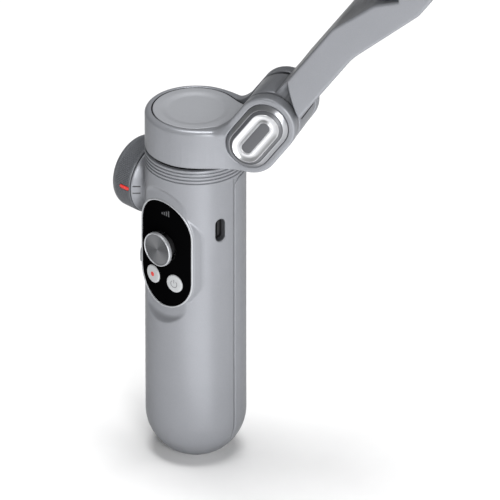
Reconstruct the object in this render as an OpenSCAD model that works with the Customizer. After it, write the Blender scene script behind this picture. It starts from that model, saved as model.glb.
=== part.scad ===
// Hand-held phone gimbal: grip with controls, pan motor, folding arm,
// roll motor, tilt motor and sprung phone clamp.
// Origin: centre of the flat on the grip's foot. +Z up the grip, -Y is the
// control-panel side, -X is the focus-wheel side.

/* [Grip] */
// Outer diameter of the grip
grip_d = 40; // [39.6:0.1:40.4]
// Height of the grip's top edge above its foot
grip_top = 134; // [133.8:0.1:134.2]
// Wall thickness of the grip shells
wall = 2; // [1.8:0.1:2.2]
// Radius of the flat on the foot
foot_r = 8.5; // [8.4:0.1:8.6]
// Where the seam between the two shells lies, behind the axis
seam_y = 1.5; // [1:0.1:2]

/* [Control panel] */
// Half width of the black panel
panel_hw = 13.5; // [13:0.1:13.6]
// Height of the panel's middle
panel_z = 93.6; // [93:0.1:94.2]
// Half height of the panel
panel_hh = 23; // [22.8:0.1:23.2]
// Radius of the panel's crown
crown_r = 47; // [46:1:50]
// Radius of the thumb stick's cap
stick_r = 7.1; // [6.8:0.1:7.2]
// Radius of the two round keys
key_r = 3.75; // [3.6:0.05:3.8]

/* [Focus wheel] */
// Outer radius of the wheel
wheel_r = 15; // [14.6:0.1:15.2]
// Height of the wheel's axis
wheel_z = 112.4; // [112:0.1:112.8]

/* [Pan unit] */
// How far the pan unit is turned in the stored pose
pan_turn = 24.4; // [0:0.1:45]
// Bottom of the pan housing
pan_z0 = 135.3; // [135.2:0.05:135.4]
// Top of the pan housing
pan_z1 = 151.6; // [151.5:0.05:151.8]

/* [Fold hinge] */
// Lean of the arm above the horizontal
lean = 54.5; // [54:0.1:55]
// Half width of the hinge block and of the arm
arm_hw = 14.7; // [14.5:0.1:14.9]
// Outer radius of the hinge ears
ear_r = 12; // [11.9:0.05:12]
// Radius of the hinge pin
pin_r = 2.5; // [2.3:0.1:2.7]

/* [Head] */
// Height of the roll axis
roll_z = 241; // [240.5:0.1:241.5]
// Distance of the tilt axis from the pan axis
tilt_x = 52; // [51.5:0.1:52.5]
// Closed gap between the two jaw pads
gap = 62; // [61:0.5:62]

/* [Hidden] */
$fn = 64;

R = grip_d / 2;
ball_z = sqrt(R * R - foot_r * foot_r);      // centre of the round foot
cover_z = 126.6;                             // top of the rear cover
py = -18.2;                                  // panel face on the middle line
cy = py + crown_r;                           // axis of the panel's crown
sz = 96.6;                                   // thumb stick centre height
sp = -13;                                    // thumb stick pivot depth
kz = 82.1;                                   // round key height
ka = asin(5.85 / crown_r);                   // round key angle on the crown
usb_a = 73.9;                                // port angle from the front
usb_z = 106.3;
side_a = 58;                                 // side key angle from the front
side_z = 83.6;
hx = 34.7; hz = 157.3;                       // hinge pin
cx1 = hx - 12.4 * cos(lean); cz1 = hz - 12.4 * sin(lean);
u0 = [cos(lean), sin(lean)];                 // along the arm
p0 = [-sin(lean), cos(lean)];                // across the arm, up and back
bx = (hx + cx1) / 2; bz = (hz + cz1) / 2;    // middle of the badge
rx = 89;                                     // open face of the roll motor
half = gap / 2 + 2;

// points on an arc
function arc(c, r, a0, a1, n) = [for (i = [0:n]) c + r * [cos(a0 + (a1 - a0) * i / n), sin(a0 + (a1 - a0) * i / n)]];
// outline of a slot-shaped piece lying along angle a
function slot_pts(c, l, r, a, n = 24) = concat(arc(c + l * [cos(a), sin(a)], r, a - 90, a + 90, n), arc(c - l * [cos(a), sin(a)], r, a + 90, a + 270, n));
// a point in the hinge plane at u along and p across the arm
function up(u, p) = [hx, hz] + u * u0 + p * p0;

module pan() { rotate([0, 0, pan_turn]) children(); }
// a flat outline in the hinge plane, extruded from y=a to y=b
module side(a, b) { translate([0, b, 0]) rotate([90, 0, 0]) linear_extrude(b - a) children(); }
// a cylinder along y in the hinge plane
module yrod(x, z, r, a, b) { translate([x, b, z]) rotate([90, 0, 0]) cylinder(r = r, h = b - a); }
module xrod(y, z, r, a, b) { translate([a, y, z]) rotate([0, 90, 0]) cylinder(r = r, h = b - a); }
module tube(r1, r2, z1, z2) { translate([0, 0, z1]) difference() { cylinder(r = r2, h = z2 - z1); translate([0, 0, -1]) cylinder(r = r1, h = z2 - z1 + 2); } }
// the slot-shaped column on the panel's middle, along y
module slot_y(hw, hh, a, b, zc = panel_z) { translate([0, 0, zc]) side(a, b) polygon(slot_pts([0, 0], hh - hw, hw, 90, 32)); }
module crown(r, z1, z2) { translate([0, cy, z1]) cylinder(r = r, h = z2 - z1, $fn = 180); }
// turned onto the crown at angle a, with y along the crown's normal
module on_crown(a) { translate([0, cy, 0]) rotate([0, 0, a]) translate([0, -cy, 0]) children(); }

// ---------- grip ----------
module grip_solid(d) {
  r = R - d;
  rotate_extrude($fn = 128) polygon(concat([[0, d]], arc([0, ball_z], r, -acos((foot_r > d ? sqrt(r * r - (ball_z - d) * (ball_z - d)) : 1) / r), 0, 24), [[r, grip_top - (d > 0 ? -1 : 0)], [0, grip_top - (d > 0 ? -1 : 0)]]));
}
module grip_wall() { difference() { grip_solid(0); grip_solid(wall); } }
module cover_zone(g) {
  // the rear shell's region, with a rounded upper corner
  translate([-R - 5, 0, 0]) rotate([90, 0, 90]) linear_extrude(2 * R + 10)
    polygon(concat([[seam_y + g, -1]], arc([seam_y + g + 4.5, cover_z - g - 4.5], 4.5, 180, 90, 10), [[R + 5, cover_z - g], [R + 5, -1]]));
}
module grooves() {
  for (i = [0:3]) translate([0, 0, 128.3 + i * 1.47 - 0.25]) tube(R - 0.5, R + 1, 0, 0.5);
}
module usb_cut(hw, hh, a, b) { rotate([0, 0, usb_a]) translate([0, 0, usb_z]) side(-b, -a) polygon(slot_pts([0, 0], hh - hw, hw, 90, 16)); }
module side_cut(g, a, b) { rotate([0, 0, -side_a]) translate([0, 0, side_z]) side(-b, -a) polygon(slot_pts([0, 0], 1.2, 2 + g, 90, 16)); }

module front_shell() {
  color([0.60, 0.61, 0.64]) difference() {
    union() {
      difference() {
        grip_wall();
        cover_zone(0);
        // the crowned flat round the panel
        difference() { slot_y(17, 32, -30, -8, 95); crown(crown_r, 50, 140); }
      }
      // raised seat of the panel
      intersection() {
        slot_y(15.2, 24.7, -24, -12.6);
        crown(crown_r, 60, 125);
      }
      // boss for the threaded insert
      tube(5, 8, 0, 9);
      // ledge that carries the motor base
      difference() {
        tube(13.5, R - 1, 128, 130.5);
        for (a = [30, 150, 270]) rotate([0, 0, a]) translate([15.5, 0, 120]) cylinder(r = 1.05, h = 20);
      }
    }
    grooves();
    // panel recess and the way to the parts behind it
    difference() { slot_y(panel_hw + 0.05, panel_hh + 0.05, -30, -10); crown(crown_r - 1.7, 60, 130); }
    slot_y(11.6, 21, -20, -4);
    usb_cut(2.3, 5, 12, 24);
    side_cut(0.06, 12, 26);
    xrod(0, wheel_z, 4, -24, -10);
    translate([0, 0, -1]) cylinder(r = 5, h = 12);
  }
}
module rear_cover() {
  color([0.60, 0.61, 0.64]) difference() {
    intersection() { grip_wall(); cover_zone(0.12); }
    translate([0, 0, -1]) cylinder(r = 8.1, h = 12);
    xrod(0, wheel_z, 4, -24, -10);
  }
}
module control_panel() {
  color([0.02, 0.02, 0.025]) difference() {
    intersection() {
      slot_y(panel_hw, panel_hh, -24, -12);
      difference() { crown(crown_r - 0.08, 60, 130); crown(crown_r - 1.65, 59, 131); }
    }
    yrod(0, sz, 6.6, -30, -8);
    for (s = [-1, 1]) on_crown(s * ka) yrod(0, kz, key_r + 0.08, -30, -8);
  }
}
module display_module() { color([0.05, 0.05, 0.06]) translate([-6, -15.6, 105.6]) cube([12, 1.6, 7]); }
module usb_port() {
  color([0.55, 0.55, 0.57]) {
    difference() { usb_cut(1.6, 4.47, 11.4, 18.6); usb_cut(1.3, 4.17, 12.2, 19); }
    rotate([0, 0, usb_a]) translate([-0.35, -17.6, usb_z - 3.3]) cube([0.7, 5.4, 6.6]);
  }
}
module tripod_insert() { color([0.72, 0.58, 0.30]) tube(3.2, 4.98, 0, 9); }
module battery_cell() { color([0.25, 0.35, 0.55]) translate([0, 4, 12.5]) { cylinder(r = 9.2, h = 65); translate([0, 0, 65]) cylinder(r = 2.7, h = 1.2); } }
module main_board() { color([0.05, 0.30, 0.14]) translate([-9.8, -8, 62]) cube([23.8, 1.6, 60]); }
module joystick_module() {
  color([0.15, 0.15, 0.16]) difference() {
    translate([-9.4, -15.4, sz - 8.6]) cube([18.8, 7.4, 17.2]);
    yrod(0, sz, 6.6, -17, -9);
    translate([0, sp, 0]) xrod(0, sz, 0.65, -12, 12);
  }
}
module tact_switches() {
  color([0.2, 0.2, 0.21]) {
    for (s = [-1, 1]) translate([s * 5.6 - 2.2, -14.2, kz - 2.2]) cube([4.4, 6.2, 4.4]);
    rotate([0, 0, -side_a]) translate([-2.2, -15.6, side_z - 2.2]) cube([4.4, 2.6, 4.4]);
    // its foot on the board's edge
    translate([-11.2, -8, side_z - 2.2]) cube([1.4, 1.6, 4.4]);
  }
}
module wheel_base() {
  color([0.55, 0.56, 0.59]) difference() {
    union() {
      // a flared seat that grows out of the grip
      difference() {
        turned_w() rotate_extrude($fn = 128) polygon([[0, 10], [11.4, 10], [11.4, 18.3], [14.6, 21.3], [14.6, 21.7], [0, 21.7]]);
        translate([0, 0, 80]) cylinder(r = R + 0.05, h = 60, $fn = 128);
      }
      xrod(0, wheel_z, 3.8, -20.6, -15.5);
    }
    xrod(0, wheel_z, 2.05, -30, -8);
  }
}
module wheel_encoder() {
  color([0.12, 0.12, 0.13]) difference() { translate([-15.5, -4.5, wheel_z - 5]) cube([4, 9, 10]); xrod(0, wheel_z, 2.05, -18, -8); }
}
module motor_base() {
  color([0.04, 0.04, 0.045]) difference() {
    union() {
      translate([0, 0, 130.5]) cylinder(r = R - wall - 0.05, h = 3.6);
      translate([0, 0, 134]) cylinder(r = 18.6, h = 1);
      translate([0, 0, 130.5]) cylinder(r = 6, h = 17.5);
    }
    translate([0, 0, 120]) cylinder(r = 4, h = 40);
    for (a = [30, 150, 270]) rotate([0, 0, a]) translate([15.5, 0, 130]) cylinder(r = 1.05, h = 3.8);
  }
}
module motor_screws() {
  color([0.5, 0.5, 0.52]) for (a = [30, 150, 270]) rotate([0, 0, a]) translate([15.5, 0, 0]) {
    translate([0, 0, 126.6]) cylinder(r = 1.6, h = 1.4);
    translate([0, 0, 127.9]) cylinder(r = 1, h = 5.6);
  }
}
module winding(ri, ro, z1, z2, n) {
  // laminated core with teeth and a coil on each tooth
  tube(ri, ri + 1.2, z1, z2);
  for (i = [0:n - 1]) rotate([0, 0, i * 360 / n]) {
    translate([ri + 0.9, -0.7, z1 + 0.8]) cube([ro - ri - 1.5, 1.4, z2 - z1 - 1.6]);
    translate([ro - 0.75, -ro * 0.2, z1 + 0.4]) cube([0.6, ro * 0.4, z2 - z1 - 0.8]);
    translate([ri + 1.5, -ro * 0.12, z1 + 0.2]) cube([ro - ri - 2.6, ro * 0.24, z2 - z1 - 0.4]);
  }
}
module pan_stator() { color([0.62, 0.34, 0.16]) winding(6, 11.6, 138, 146, 9); }
module pan_bearings() { color([0.75, 0.76, 0.78]) for (z = [131, 144.6]) tube(2.5 + 0.03, 4, z, z + 3); }

// ---------- pan unit ----------
module cut_fold() {
  // the space that the arm's tongue sweeps
  t = lean + 95;
  u1 = [cos(t), sin(t)]; p1 = [-sin(t), cos(t)];
  polygon([[hx, hz] - 8.4 * p0, [hx, hz] - 8.4 * p0 + 70 * u0, [hx, hz] + 90 * [cos(lean + 47), sin(lean + 47)], [hx, hz] + 6.2 * p1 + 70 * u1, [hx, hz] + 6.2 * p1]);
}
module pan_housing() {
  color([0.62, 0.63, 0.66]) pan() difference() {
    union() {
      rotate_extrude($fn = 128) polygon(concat([[0, pan_z0], [R, pan_z0]], arc([R - 2.2, pan_z1 - 2.2], 2.2, 0, 90, 10), [[0, pan_z1]]));
      side(-arm_hw, arm_hw) polygon(slot_pts([bx, bz], 6.2, ear_r, lean, 32));
      translate([12, -arm_hw, pan_z0]) cube([cx1 - 12, 2 * arm_hw, pan_z1 - pan_z0]);
    }
    translate([0, 0, pan_z0 - 1]) cylinder(r = 17.5, h = 149 - pan_z0 + 1);
    translate([0, 0, 150.4]) cylinder(r = 17.4, h = 20);
    translate([0, 0, 140]) cylinder(r = 2.5, h = 20);
    side(-9, 9) cut_fold();
    yrod(hx, hz, 12.1, -9, 9);
    yrod(hx, hz, pin_r, -12.2, 12.2);
    side(-arm_hw - 1, -12.2) polygon(slot_pts([bx, bz], 6.2, 9.35, lean, 32));
    side(12.2, arm_hw + 1) polygon(slot_pts([bx, bz], 6.2, 9.35, lean, 32));
  }
}
module pan_cover() {
  color([0.64, 0.65, 0.68]) pan() rotate_extrude($fn = 128)
    polygon(concat([[0, 150.4], [17.2, 150.4]], arc([16.9, 151.3], 0.3, 0, 90, 4), [[14.1, 151.6], [10.9, 150.95], [0, 150.95]]));
}
module pan_shaft() { color([0.7, 0.71, 0.73]) translate([0, 0, 129]) cylinder(r = 2.48, h = 21.4); }
module pan_magnets() { color([0.35, 0.35, 0.37]) tube(12, 14.2, 138, 149); }
module badge_layer(r1, r2, a, b) { pan() side(a, b) difference() { polygon(slot_pts([bx, bz], 6.2, r2, lean, 32)); polygon(slot_pts([bx, bz], 6.2, r1, lean, 32)); } }
module badge_ring() { color([0.85, 0.86, 0.88]) { badge_layer(7.6, 9.25, -15.4, -12.2); badge_layer(6.1, 7.65, -16.4, -12.2); } }
module badge_dish() { color([0.7, 0.71, 0.73]) badge_layer(2.9, 6.05, -16.95, -12.2); }
module badge_insert() { color([0.2, 0.2, 0.22]) pan() side(-16.7, -12.2) polygon(slot_pts([bx, bz], 6.2, 2.85, lean, 32)); }
module hinge_pin() { color([0.7, 0.71, 0.73]) pan() yrod(hx, hz, pin_r - 0.02, -12, 12); }
module hinge_washers() { color([0.85, 0.8, 0.65]) pan() for (s = [-8.95, 8.35]) difference() { yrod(hx, hz, 7, s, s + 0.6); yrod(hx, hz, pin_r + 0.02, s - 1, s + 2); } }
module hinge_far_cap() { color([0.6, 0.61, 0.64]) pan() side(12.2, 14.7) polygon(slot_pts([bx, bz], 6.2, 9.25, lean, 32)); }

// ---------- arm ----------
arm_pts = [up(23, 5.6), up(55, 5.6), [79, 218.6], [rx, 222], [rx, roll_z], [rx + 15, roll_z], [rx + 15, 226], [97.5, 217], up(50, -8), up(12.4, -8)];
module arm_shell() {
  color([0.63, 0.64, 0.67]) pan() difference() {
    union() {
      side(-arm_hw, arm_hw) polygon(arm_pts);
      side(-8.2, 8.2) polygon([up(0, -8), up(24, -8), up(24, 5.6), up(0, 5.6)]);
      // hinge barrel, flush with the ears
      yrod(hx, hz, 11.9, -8.2, 8.2);
      xrod(0, roll_z, 16, rx, rx + 15);
    }
    yrod(hx, hz, pin_r + 0.05, -20, 20);
    xrod(0, roll_z, 14.2, rx - 1, rx + 13);
    // cable tray, open to the outer face
    side(-11.5, 11.5) polygon([up(22, 1.5), up(50, 1.5), up(50, -9), up(16, -9), up(16, -6.4), up(22, -6.4)]);
    cover_holes(0.9, -12, 3);
  }
  color([0.63, 0.64, 0.67]) pan() difference() { cover_holes(2, -6.4, 2); cover_holes(0.9, -12, 3); }
  color([0.63, 0.64, 0.67]) pan() difference() { xrod(0, roll_z, 5, rx + 1, rx + 13); xrod(0, roll_z, 3.5, rx, rx + 12.5); }
}
module arm_cover() {
  color([0.58, 0.59, 0.62]) pan() difference() {
    side(-11.4, 11.4) polygon([up(16.1, -6.4), up(49.9, -6.4), up(49.9, -8), up(16.1, -8)]);
    cover_holes(0.9);
  }
}
module cover_holes(r, a = -12, b = 3) { for (u = [20, 46]) for (y = [-8, 8]) translate([up(u, a)[0], y, up(u, a)[1]]) rotate([0, lean * -1, 0]) cylinder(r = r, h = (u < 30 ? b - 3.8 : b) - a); }
module arm_cover_screws() { color([0.3, 0.3, 0.31]) pan() cover_holes(0.88, -8, 2.8); }
module turned_x(x) { pan() translate([x, 0, roll_z]) rotate([0, 90, 0]) children(); }
module roll_stator() { color([0.62, 0.34, 0.16]) turned_x(rx) winding(5, 10.6, 2.5, 10, 9); }
module roll_bearings() { color([0.75, 0.76, 0.78]) turned_x(rx) for (z = [1.2, 9.4]) tube(2.03, 3.5, z, z + 2.4); }

// ---------- roll unit ----------
module roll_rotor() {
  color([0.60, 0.61, 0.64]) turned_x(rx) difference() {
    union() {
      rotate_extrude($fn = 128) polygon(concat([[0, -9.4], [14.5, -9.4]], arc([14.5, -7.9], 1.5, -90, 0, 8), [[16, -0.4], [0, -0.4]]));
      tube(12.9, 13.7, -0.5, 10.4);
    }
    translate([0, 0, -6]) cylinder(r = 2, h = 10);
  }
}
module roll_magnets() { color([0.35, 0.35, 0.37]) turned_x(rx) tube(11.3, 12.88, 1.5, 10.4); }
module roll_shaft() { color([0.7, 0.71, 0.73]) turned_x(rx) translate([0, 0, -6]) cylinder(r = 1.98, h = 18); }
tz = roll_z;
module tilt_bracket() {
  color([0.58, 0.59, 0.62]) pan() difference() {
    union() {
      translate([rx - 14.4, 0, roll_z]) rotate([90, 0, 90]) linear_extrude(5) polygon(concat(arc([0, 0], 11, 180, 360, 32), [[11, 35], [-11, 35]]));
      translate([tilt_x, -11, tz + 30]) cube([rx - 9.4 - tilt_x, 22, 5]);
      translate([tilt_x, 0, tz + 18.5]) cylinder(r = 13, h = 16.5);
    }
    translate([tilt_x, 0, tz + 17]) cylinder(r = 11.4, h = 12);
  }
  color([0.58, 0.59, 0.62]) pan() translate([tilt_x, 0, tz]) difference() { translate([0, 0, 19.2]) cylinder(r = 4, h = 10.8); translate([0, 0, 19]) cylinder(r = 3, h = 10); }
}
module turned_t() { pan() translate([tilt_x, 0, tz]) children(); }
module tilt_stator() { color([0.62, 0.34, 0.16]) turned_t() winding(4, 8.2, 21, 28, 9); }
module tilt_bearings() { color([0.75, 0.76, 0.78]) turned_t() for (z = [19.3, 26.5]) tube(1.53, 3, z, z + 2.2); }

// ---------- tilt unit ----------
module tilt_rotor() {
  color([0.60, 0.61, 0.64]) turned_t() difference() {
    union() {
      rotate_extrude($fn = 128) polygon(concat([[0, 9], [13, 9]], arc([11.8, 16.9], 1.2, 0, 90, 8), [[0, 18.1]]));
      tube(10, 10.9, 18, 28.4);
    }
    translate([0, 0, 10]) cylinder(r = 1.5, h = 20);
  }
}
module tilt_magnets() { color([0.35, 0.35, 0.37]) turned_t() tube(8.8, 9.98, 20, 28.4); }
module tilt_shaft() { color([0.7, 0.71, 0.73]) turned_t() translate([0, 0, 10]) cylinder(r = 1.48, h = 18.6); }
rods = [-5.6, 5.6];
module clamp_body() {
  color([0.30, 0.31, 0.33]) turned_t() difference() {
    union() {
      translate([-18, -half - 6, -9.5]) cube([12, half + 6 + gap / 2, 18.5]);
      translate([0, 0, -9.5]) cylinder(r = 13, h = 18.5);
    }
    for (z = rods) yrod(-12, z, 2.05, -30, 60);
    yrod(-12, 0, 3, -30, 60);
  }
}
module hook(s) {
  // s = -1 for the fixed jaw, 1 for the sliding jaw
  turned_t() scale_y(s) {
    translate([-33, half, -9.5]) cube([15, 6, 18.5]);
    translate([-33, half - 4.5, -9.5]) cube([3, 5, 18.5]);
  }
}
module scale_y(s) { if (s > 0) children(); else mirror([0, 1, 0]) children(); }
module fixed_jaw() { color([0.60, 0.61, 0.64]) hook(-1); }
module sliding_jaw() {
  color([0.60, 0.61, 0.64]) {
    hook(1);
    turned_t() difference() { translate([-18.1, gap / 2 + 0.4, -9.5]) cube([12.1, 7.6, 18.5]); for (z = rods) yrod(-12, z, 2, gap / 2, gap / 2 + 5); }
  }
}
module pad(s) { turned_t() scale_y(s) translate([-29.9, half - 2, -8]) cube([11.9, 2, 16]); }
module fixed_jaw_pad() { color([0.08, 0.08, 0.085]) pad(-1); }
module sliding_jaw_pad() { color([0.08, 0.08, 0.085]) difference() { pad(1); turned_t() translate([-18.2, 0, -12]) cube([2, 60, 24]); } }
module back_pad() { color([0.08, 0.08, 0.085]) turned_t() side(-27, 27) polygon([[-18, -7], [-19, -6.5], [-19, 6.5], [-18, 7]]); }
module jaw_rods() { color([0.75, 0.76, 0.78]) turned_t() for (z = rods) yrod(-12, z, 1.98, -25, gap / 2 + 4.9); }
// wound tension spring, swept as one tube
sp_n = 9; sp_y0 = -28; sp_y1 = gap / 2 + 0.2;
function sp_c(i) = let (a = i * 30) [2.2 * cos(a), sp_y0 + (sp_y1 - sp_y0) * i / (sp_n * 12), 2.2 * sin(a)];
module clamp_spring() {
  m = sp_n * 12;
  pts = [for (i = [0:m]) let (c = sp_c(i), a = i * 30) for (k = [0:5]) c + 0.42 * (cos(k * 60) * [cos(a), 0, sin(a)] + sin(k * 60) * [0, 1, 0])];
  fcs = concat([for (i = [0:m - 1]) for (k = [0:5]) [i * 6 + k, i * 6 + (k + 1) % 6, (i + 1) * 6 + (k + 1) % 6]],
    [for (i = [0:m - 1]) for (k = [0:5]) [i * 6 + k, (i + 1) * 6 + (k + 1) % 6, (i + 1) * 6 + k]],
    [[5, 4, 3, 2, 1, 0]], [[for (k = [0:5]) m * 6 + k]]);
  color([0.75, 0.76, 0.78]) turned_t() translate([-12, 0, 0]) polyhedron(pts, fcs);
}

// ---------- focus wheel ----------
module turned_w() { translate([0, 0, wheel_z]) rotate([0, -90, 0]) children(); }
module focus_wheel() {
  color([0.34, 0.35, 0.37]) turned_w() difference() {
    rotate_extrude($fn = 128) polygon(concat([[0, 22.1], [wheel_r, 22.1]], arc([wheel_r - 2.4, 30.1], 2.4, 0, 90, 8), [[0, 32.5]]));
    translate([0, 0, 31.3]) cylinder(r = 10.6, h = 3);
    translate([0, 0, 20]) cylinder(r = 2, h = 12);
    translate([-0.75, -wheel_r - 1, 22.4]) cube([1.5, 1.8, 5]);
  }
}
module wheel_cap() { color([0.40, 0.41, 0.43]) turned_w() difference() { translate([0, 0, 31.3]) cylinder(r = 10.5, h = 0.9); translate([0, 0, 26]) cylinder(r = 2, h = 5.5); } }
module wheel_index() { color([0.85, 0.12, 0.10]) turned_w() translate([-0.7, -wheel_r - 0.05, 22.5]) cube([1.4, 0.8, 4.8]); }
module wheel_shaft() { color([0.7, 0.71, 0.73]) turned_w() translate([0, 0, 11.8]) cylinder(r = 1.98, h = 19.5); }

// ---------- thumb stick and keys ----------
module joystick_yoke() {
  color([0.6, 0.6, 0.62]) {
    difference() { yrod(0, sz, 6.2, sp - 0.8, sp + 0.8); yrod(0, sz, 4.7, sp - 2, sp + 2); translate([0, sp, sz - 10]) cylinder(r = 0.62, h = 20); }
    for (s = [-1, 1]) translate([0, sp, 0]) xrod(0, sz, 0.6, s > 0 ? 6 : -9.2, s > 0 ? 9.2 : -6);
  }
}
module joystick_stem() {
  color([0.03, 0.03, 0.035]) {
    yrod(0, sz, 2.6, -16, sp + 2);
    yrod(0, sz, 4.6, -20.3, -15.6);
    translate([0, sp, sz - 6]) cylinder(r = 0.58, h = 12);
  }
}
module joystick_cap() {
  color([0.72, 0.73, 0.75]) translate([0, -20.3, sz]) rotate([90, 0, 0])
    rotate_extrude($fn = 96) polygon(concat([[0, 0]], arc([stick_r - 0.25, 0.25], 0.25, -90, 0, 3), arc([stick_r - 0.35, 1.35], 0.35, 0, 90, 4), [[stick_r - 0.9, 1.7], [stick_r - 1.05, 1.3], [0, 1.3]]));
}
module round_key(s) {
  on_crown(s * ka) {
    yrod(0, kz, key_r, py - 0.5, -16);
    yrod(0, kz, key_r + 0.7, -16.2, -15.5);
  }
}
module record_button() { color([0.74, 0.75, 0.76]) round_key(-1); }
module power_button() { color([0.74, 0.75, 0.76]) round_key(1); }
module side_key() {
  color([0.62, 0.63, 0.66]) {
    side_cut(0, 17, 22.1);
    rotate([0, 0, -side_a]) translate([-2.6, -17.3, side_z - 3.8]) cube([5.2, 0.8, 7.6]);
  }
}

front_shell();
rear_cover();
control_panel();
display_module();
usb_port();
tripod_insert();
battery_cell();
main_board();
joystick_module();
tact_switches();
wheel_base();
wheel_encoder();
motor_base();
motor_screws();
pan_stator();
pan_bearings();
pan_housing();
pan_cover();
pan_shaft();
pan_magnets();
badge_ring();
badge_dish();
badge_insert();
hinge_pin();
hinge_washers();
hinge_far_cap();
arm_shell();
arm_cover();
arm_cover_screws();
roll_stator();
roll_bearings();
roll_rotor();
roll_magnets();
roll_shaft();
tilt_bracket();
tilt_stator();
tilt_bearings();
tilt_rotor();
tilt_magnets();
tilt_shaft();
clamp_body();
fixed_jaw();
fixed_jaw_pad();
back_pad();
sliding_jaw();
jaw_rods();
sliding_jaw_pad();
clamp_spring();
focus_wheel();
wheel_cap();
wheel_index();
wheel_shaft();
joystick_yoke();
joystick_stem();
joystick_cap();
record_button();
power_button();
side_key();
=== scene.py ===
import math
import bpy
import bmesh
import numpy as np
from mathutils import Vector, Matrix


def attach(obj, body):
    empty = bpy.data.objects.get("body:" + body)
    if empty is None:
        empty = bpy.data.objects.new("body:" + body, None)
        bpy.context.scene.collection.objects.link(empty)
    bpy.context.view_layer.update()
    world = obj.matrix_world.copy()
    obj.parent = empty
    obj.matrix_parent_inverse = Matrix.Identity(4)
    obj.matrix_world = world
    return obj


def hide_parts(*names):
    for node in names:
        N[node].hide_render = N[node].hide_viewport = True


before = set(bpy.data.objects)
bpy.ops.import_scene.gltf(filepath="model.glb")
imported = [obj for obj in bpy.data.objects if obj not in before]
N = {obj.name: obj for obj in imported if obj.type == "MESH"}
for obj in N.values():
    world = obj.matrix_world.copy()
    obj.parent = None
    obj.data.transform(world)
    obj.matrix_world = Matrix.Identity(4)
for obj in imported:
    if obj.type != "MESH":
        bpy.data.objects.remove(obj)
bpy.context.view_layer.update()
scene = bpy.context.scene

# ------------------------------------------------------------------ sizes, mm
R = 20.0
BALL = math.sqrt(400 - 8.5 ** 2)
PAN = math.radians(24.4)
LEAN = math.radians(54.5)
H = np.array([34.7, 157.3])
U0 = np.array([math.cos(LEAN), math.sin(LEAN)])
P0 = np.array([-math.sin(LEAN), math.cos(LEAN)])
C1 = H - 12.4 * U0
BC = (H + C1) / 2
PZ, PHW, PHH = 93.6, 13.5, 23.0
CROWN, CY = 47.0, 28.8
SZ, KZ = 96.6, 82.1
KA = math.asin(5.85 / CROWN)
USB_A, USB_Z = math.radians(73.9), 106.3
SIDE_A, SIDE_Z = math.radians(58), 83.6
WZ = 112.4
RX, ROLL_Z, TILT_X = 89.0, 241.0, 52.0


def up(u, p):
    return H + u * U0 + p * P0


# ------------------------------------------------------------------ mesh tools
def make(name, verts, faces, smooth=True, angle=None):
    """A mesh object from points in millimetres."""
    me = bpy.data.meshes.new(name)
    me.from_pydata([tuple(v) for v in (np.asarray(verts) / 1000.0)], [], [tuple(int(i) for i in f) for f in faces])
    me.update()
    me.polygons.foreach_set("use_smooth", [smooth] * len(me.polygons))
    ob = bpy.data.objects.new(name, me)
    scene.collection.objects.link(ob)
    if angle is not None:
        sharpen(ob, angle)
    return ob


def sharpen(ob, angle):
    """Marks edges sharper than angle, so smooth faces meet there in a crisp line."""
    bm = bmesh.new()
    bm.from_mesh(ob.data)
    lim = math.radians(angle)
    for e in bm.edges:
        e.smooth = not (len(e.link_faces) == 2 and e.calc_face_angle(0) > lim)
    bm.to_mesh(ob.data)
    bm.free()


def fix_normals(ob):
    bm = bmesh.new()
    bm.from_mesh(ob.data)
    bmesh.ops.recalc_face_normals(bm, faces=bm.faces)
    bm.to_mesh(ob.data)
    bm.free()


def rot_z(v, a):
    v = np.asarray(v, float)
    c, s = math.cos(a), math.sin(a)
    out = v.copy()
    out[..., 0] = v[..., 0] * c - v[..., 1] * s
    out[..., 1] = v[..., 0] * s + v[..., 1] * c
    return out


def pan_world(v):
    return rot_z(v, PAN)


def grid_faces(nu, nv, wrap_u=False, wrap_v=False, off=0):
    f = []
    for i in range(nu if wrap_u else nu - 1):
        for j in range(nv if wrap_v else nv - 1):
            a, b = i, (i + 1) % nu
            c, d = j, (j + 1) % nv
            f.append((off + a * nv + c, off + b * nv + c, off + b * nv + d, off + a * nv + d))
    return f


def lathe(name, prof, n=96, to=None, angle=35, wave=None):
    """A turned piece: prof is (radius, height) from the axis out and back to the axis."""
    prof = [tuple(p) for p in prof]
    loop = prof[0] == prof[-1]
    if loop:
        prof = prof[:-1]
    m = len(prof)
    vs, fs, ring = [], [], []
    for k, (r, z) in enumerate(prof):
        if r < 1e-6:
            ring.append([len(vs)])
            vs.append((0, 0, z))
        else:
            ids = []
            for i in range(n):
                t = 2 * math.pi * i / n
                rr = r + (wave(k, t) if wave else 0)
                ids.append(len(vs))
                vs.append((rr * math.cos(t), rr * math.sin(t), z))
            ring.append(ids)
    for k in range(m if loop else m - 1):
        a, b = ring[k], ring[(k + 1) % m]
        for i in range(n):
            j = (i + 1) % n
            if len(a) == 1 and len(b) == 1:
                continue
            if len(a) == 1:
                fs.append((a[0], b[j], b[i]))
            elif len(b) == 1:
                fs.append((a[i], a[j], b[0]))
            else:
                fs.append((a[i], a[j], b[j], b[i]))
    v = np.array(vs, float)
    if to is not None:
        v = to(v)
    ob = make(name, v, fs)
    fix_normals(ob)
    if angle:
        sharpen(ob, angle)
    return ob


def arc2(cx, cy, r, a0, a1, n=6):
    return [(cx + r * math.cos(math.radians(a0 + (a1 - a0) * i / n)), cy + r * math.sin(math.radians(a0 + (a1 - a0) * i / n))) for i in range(n + 1)]


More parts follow.
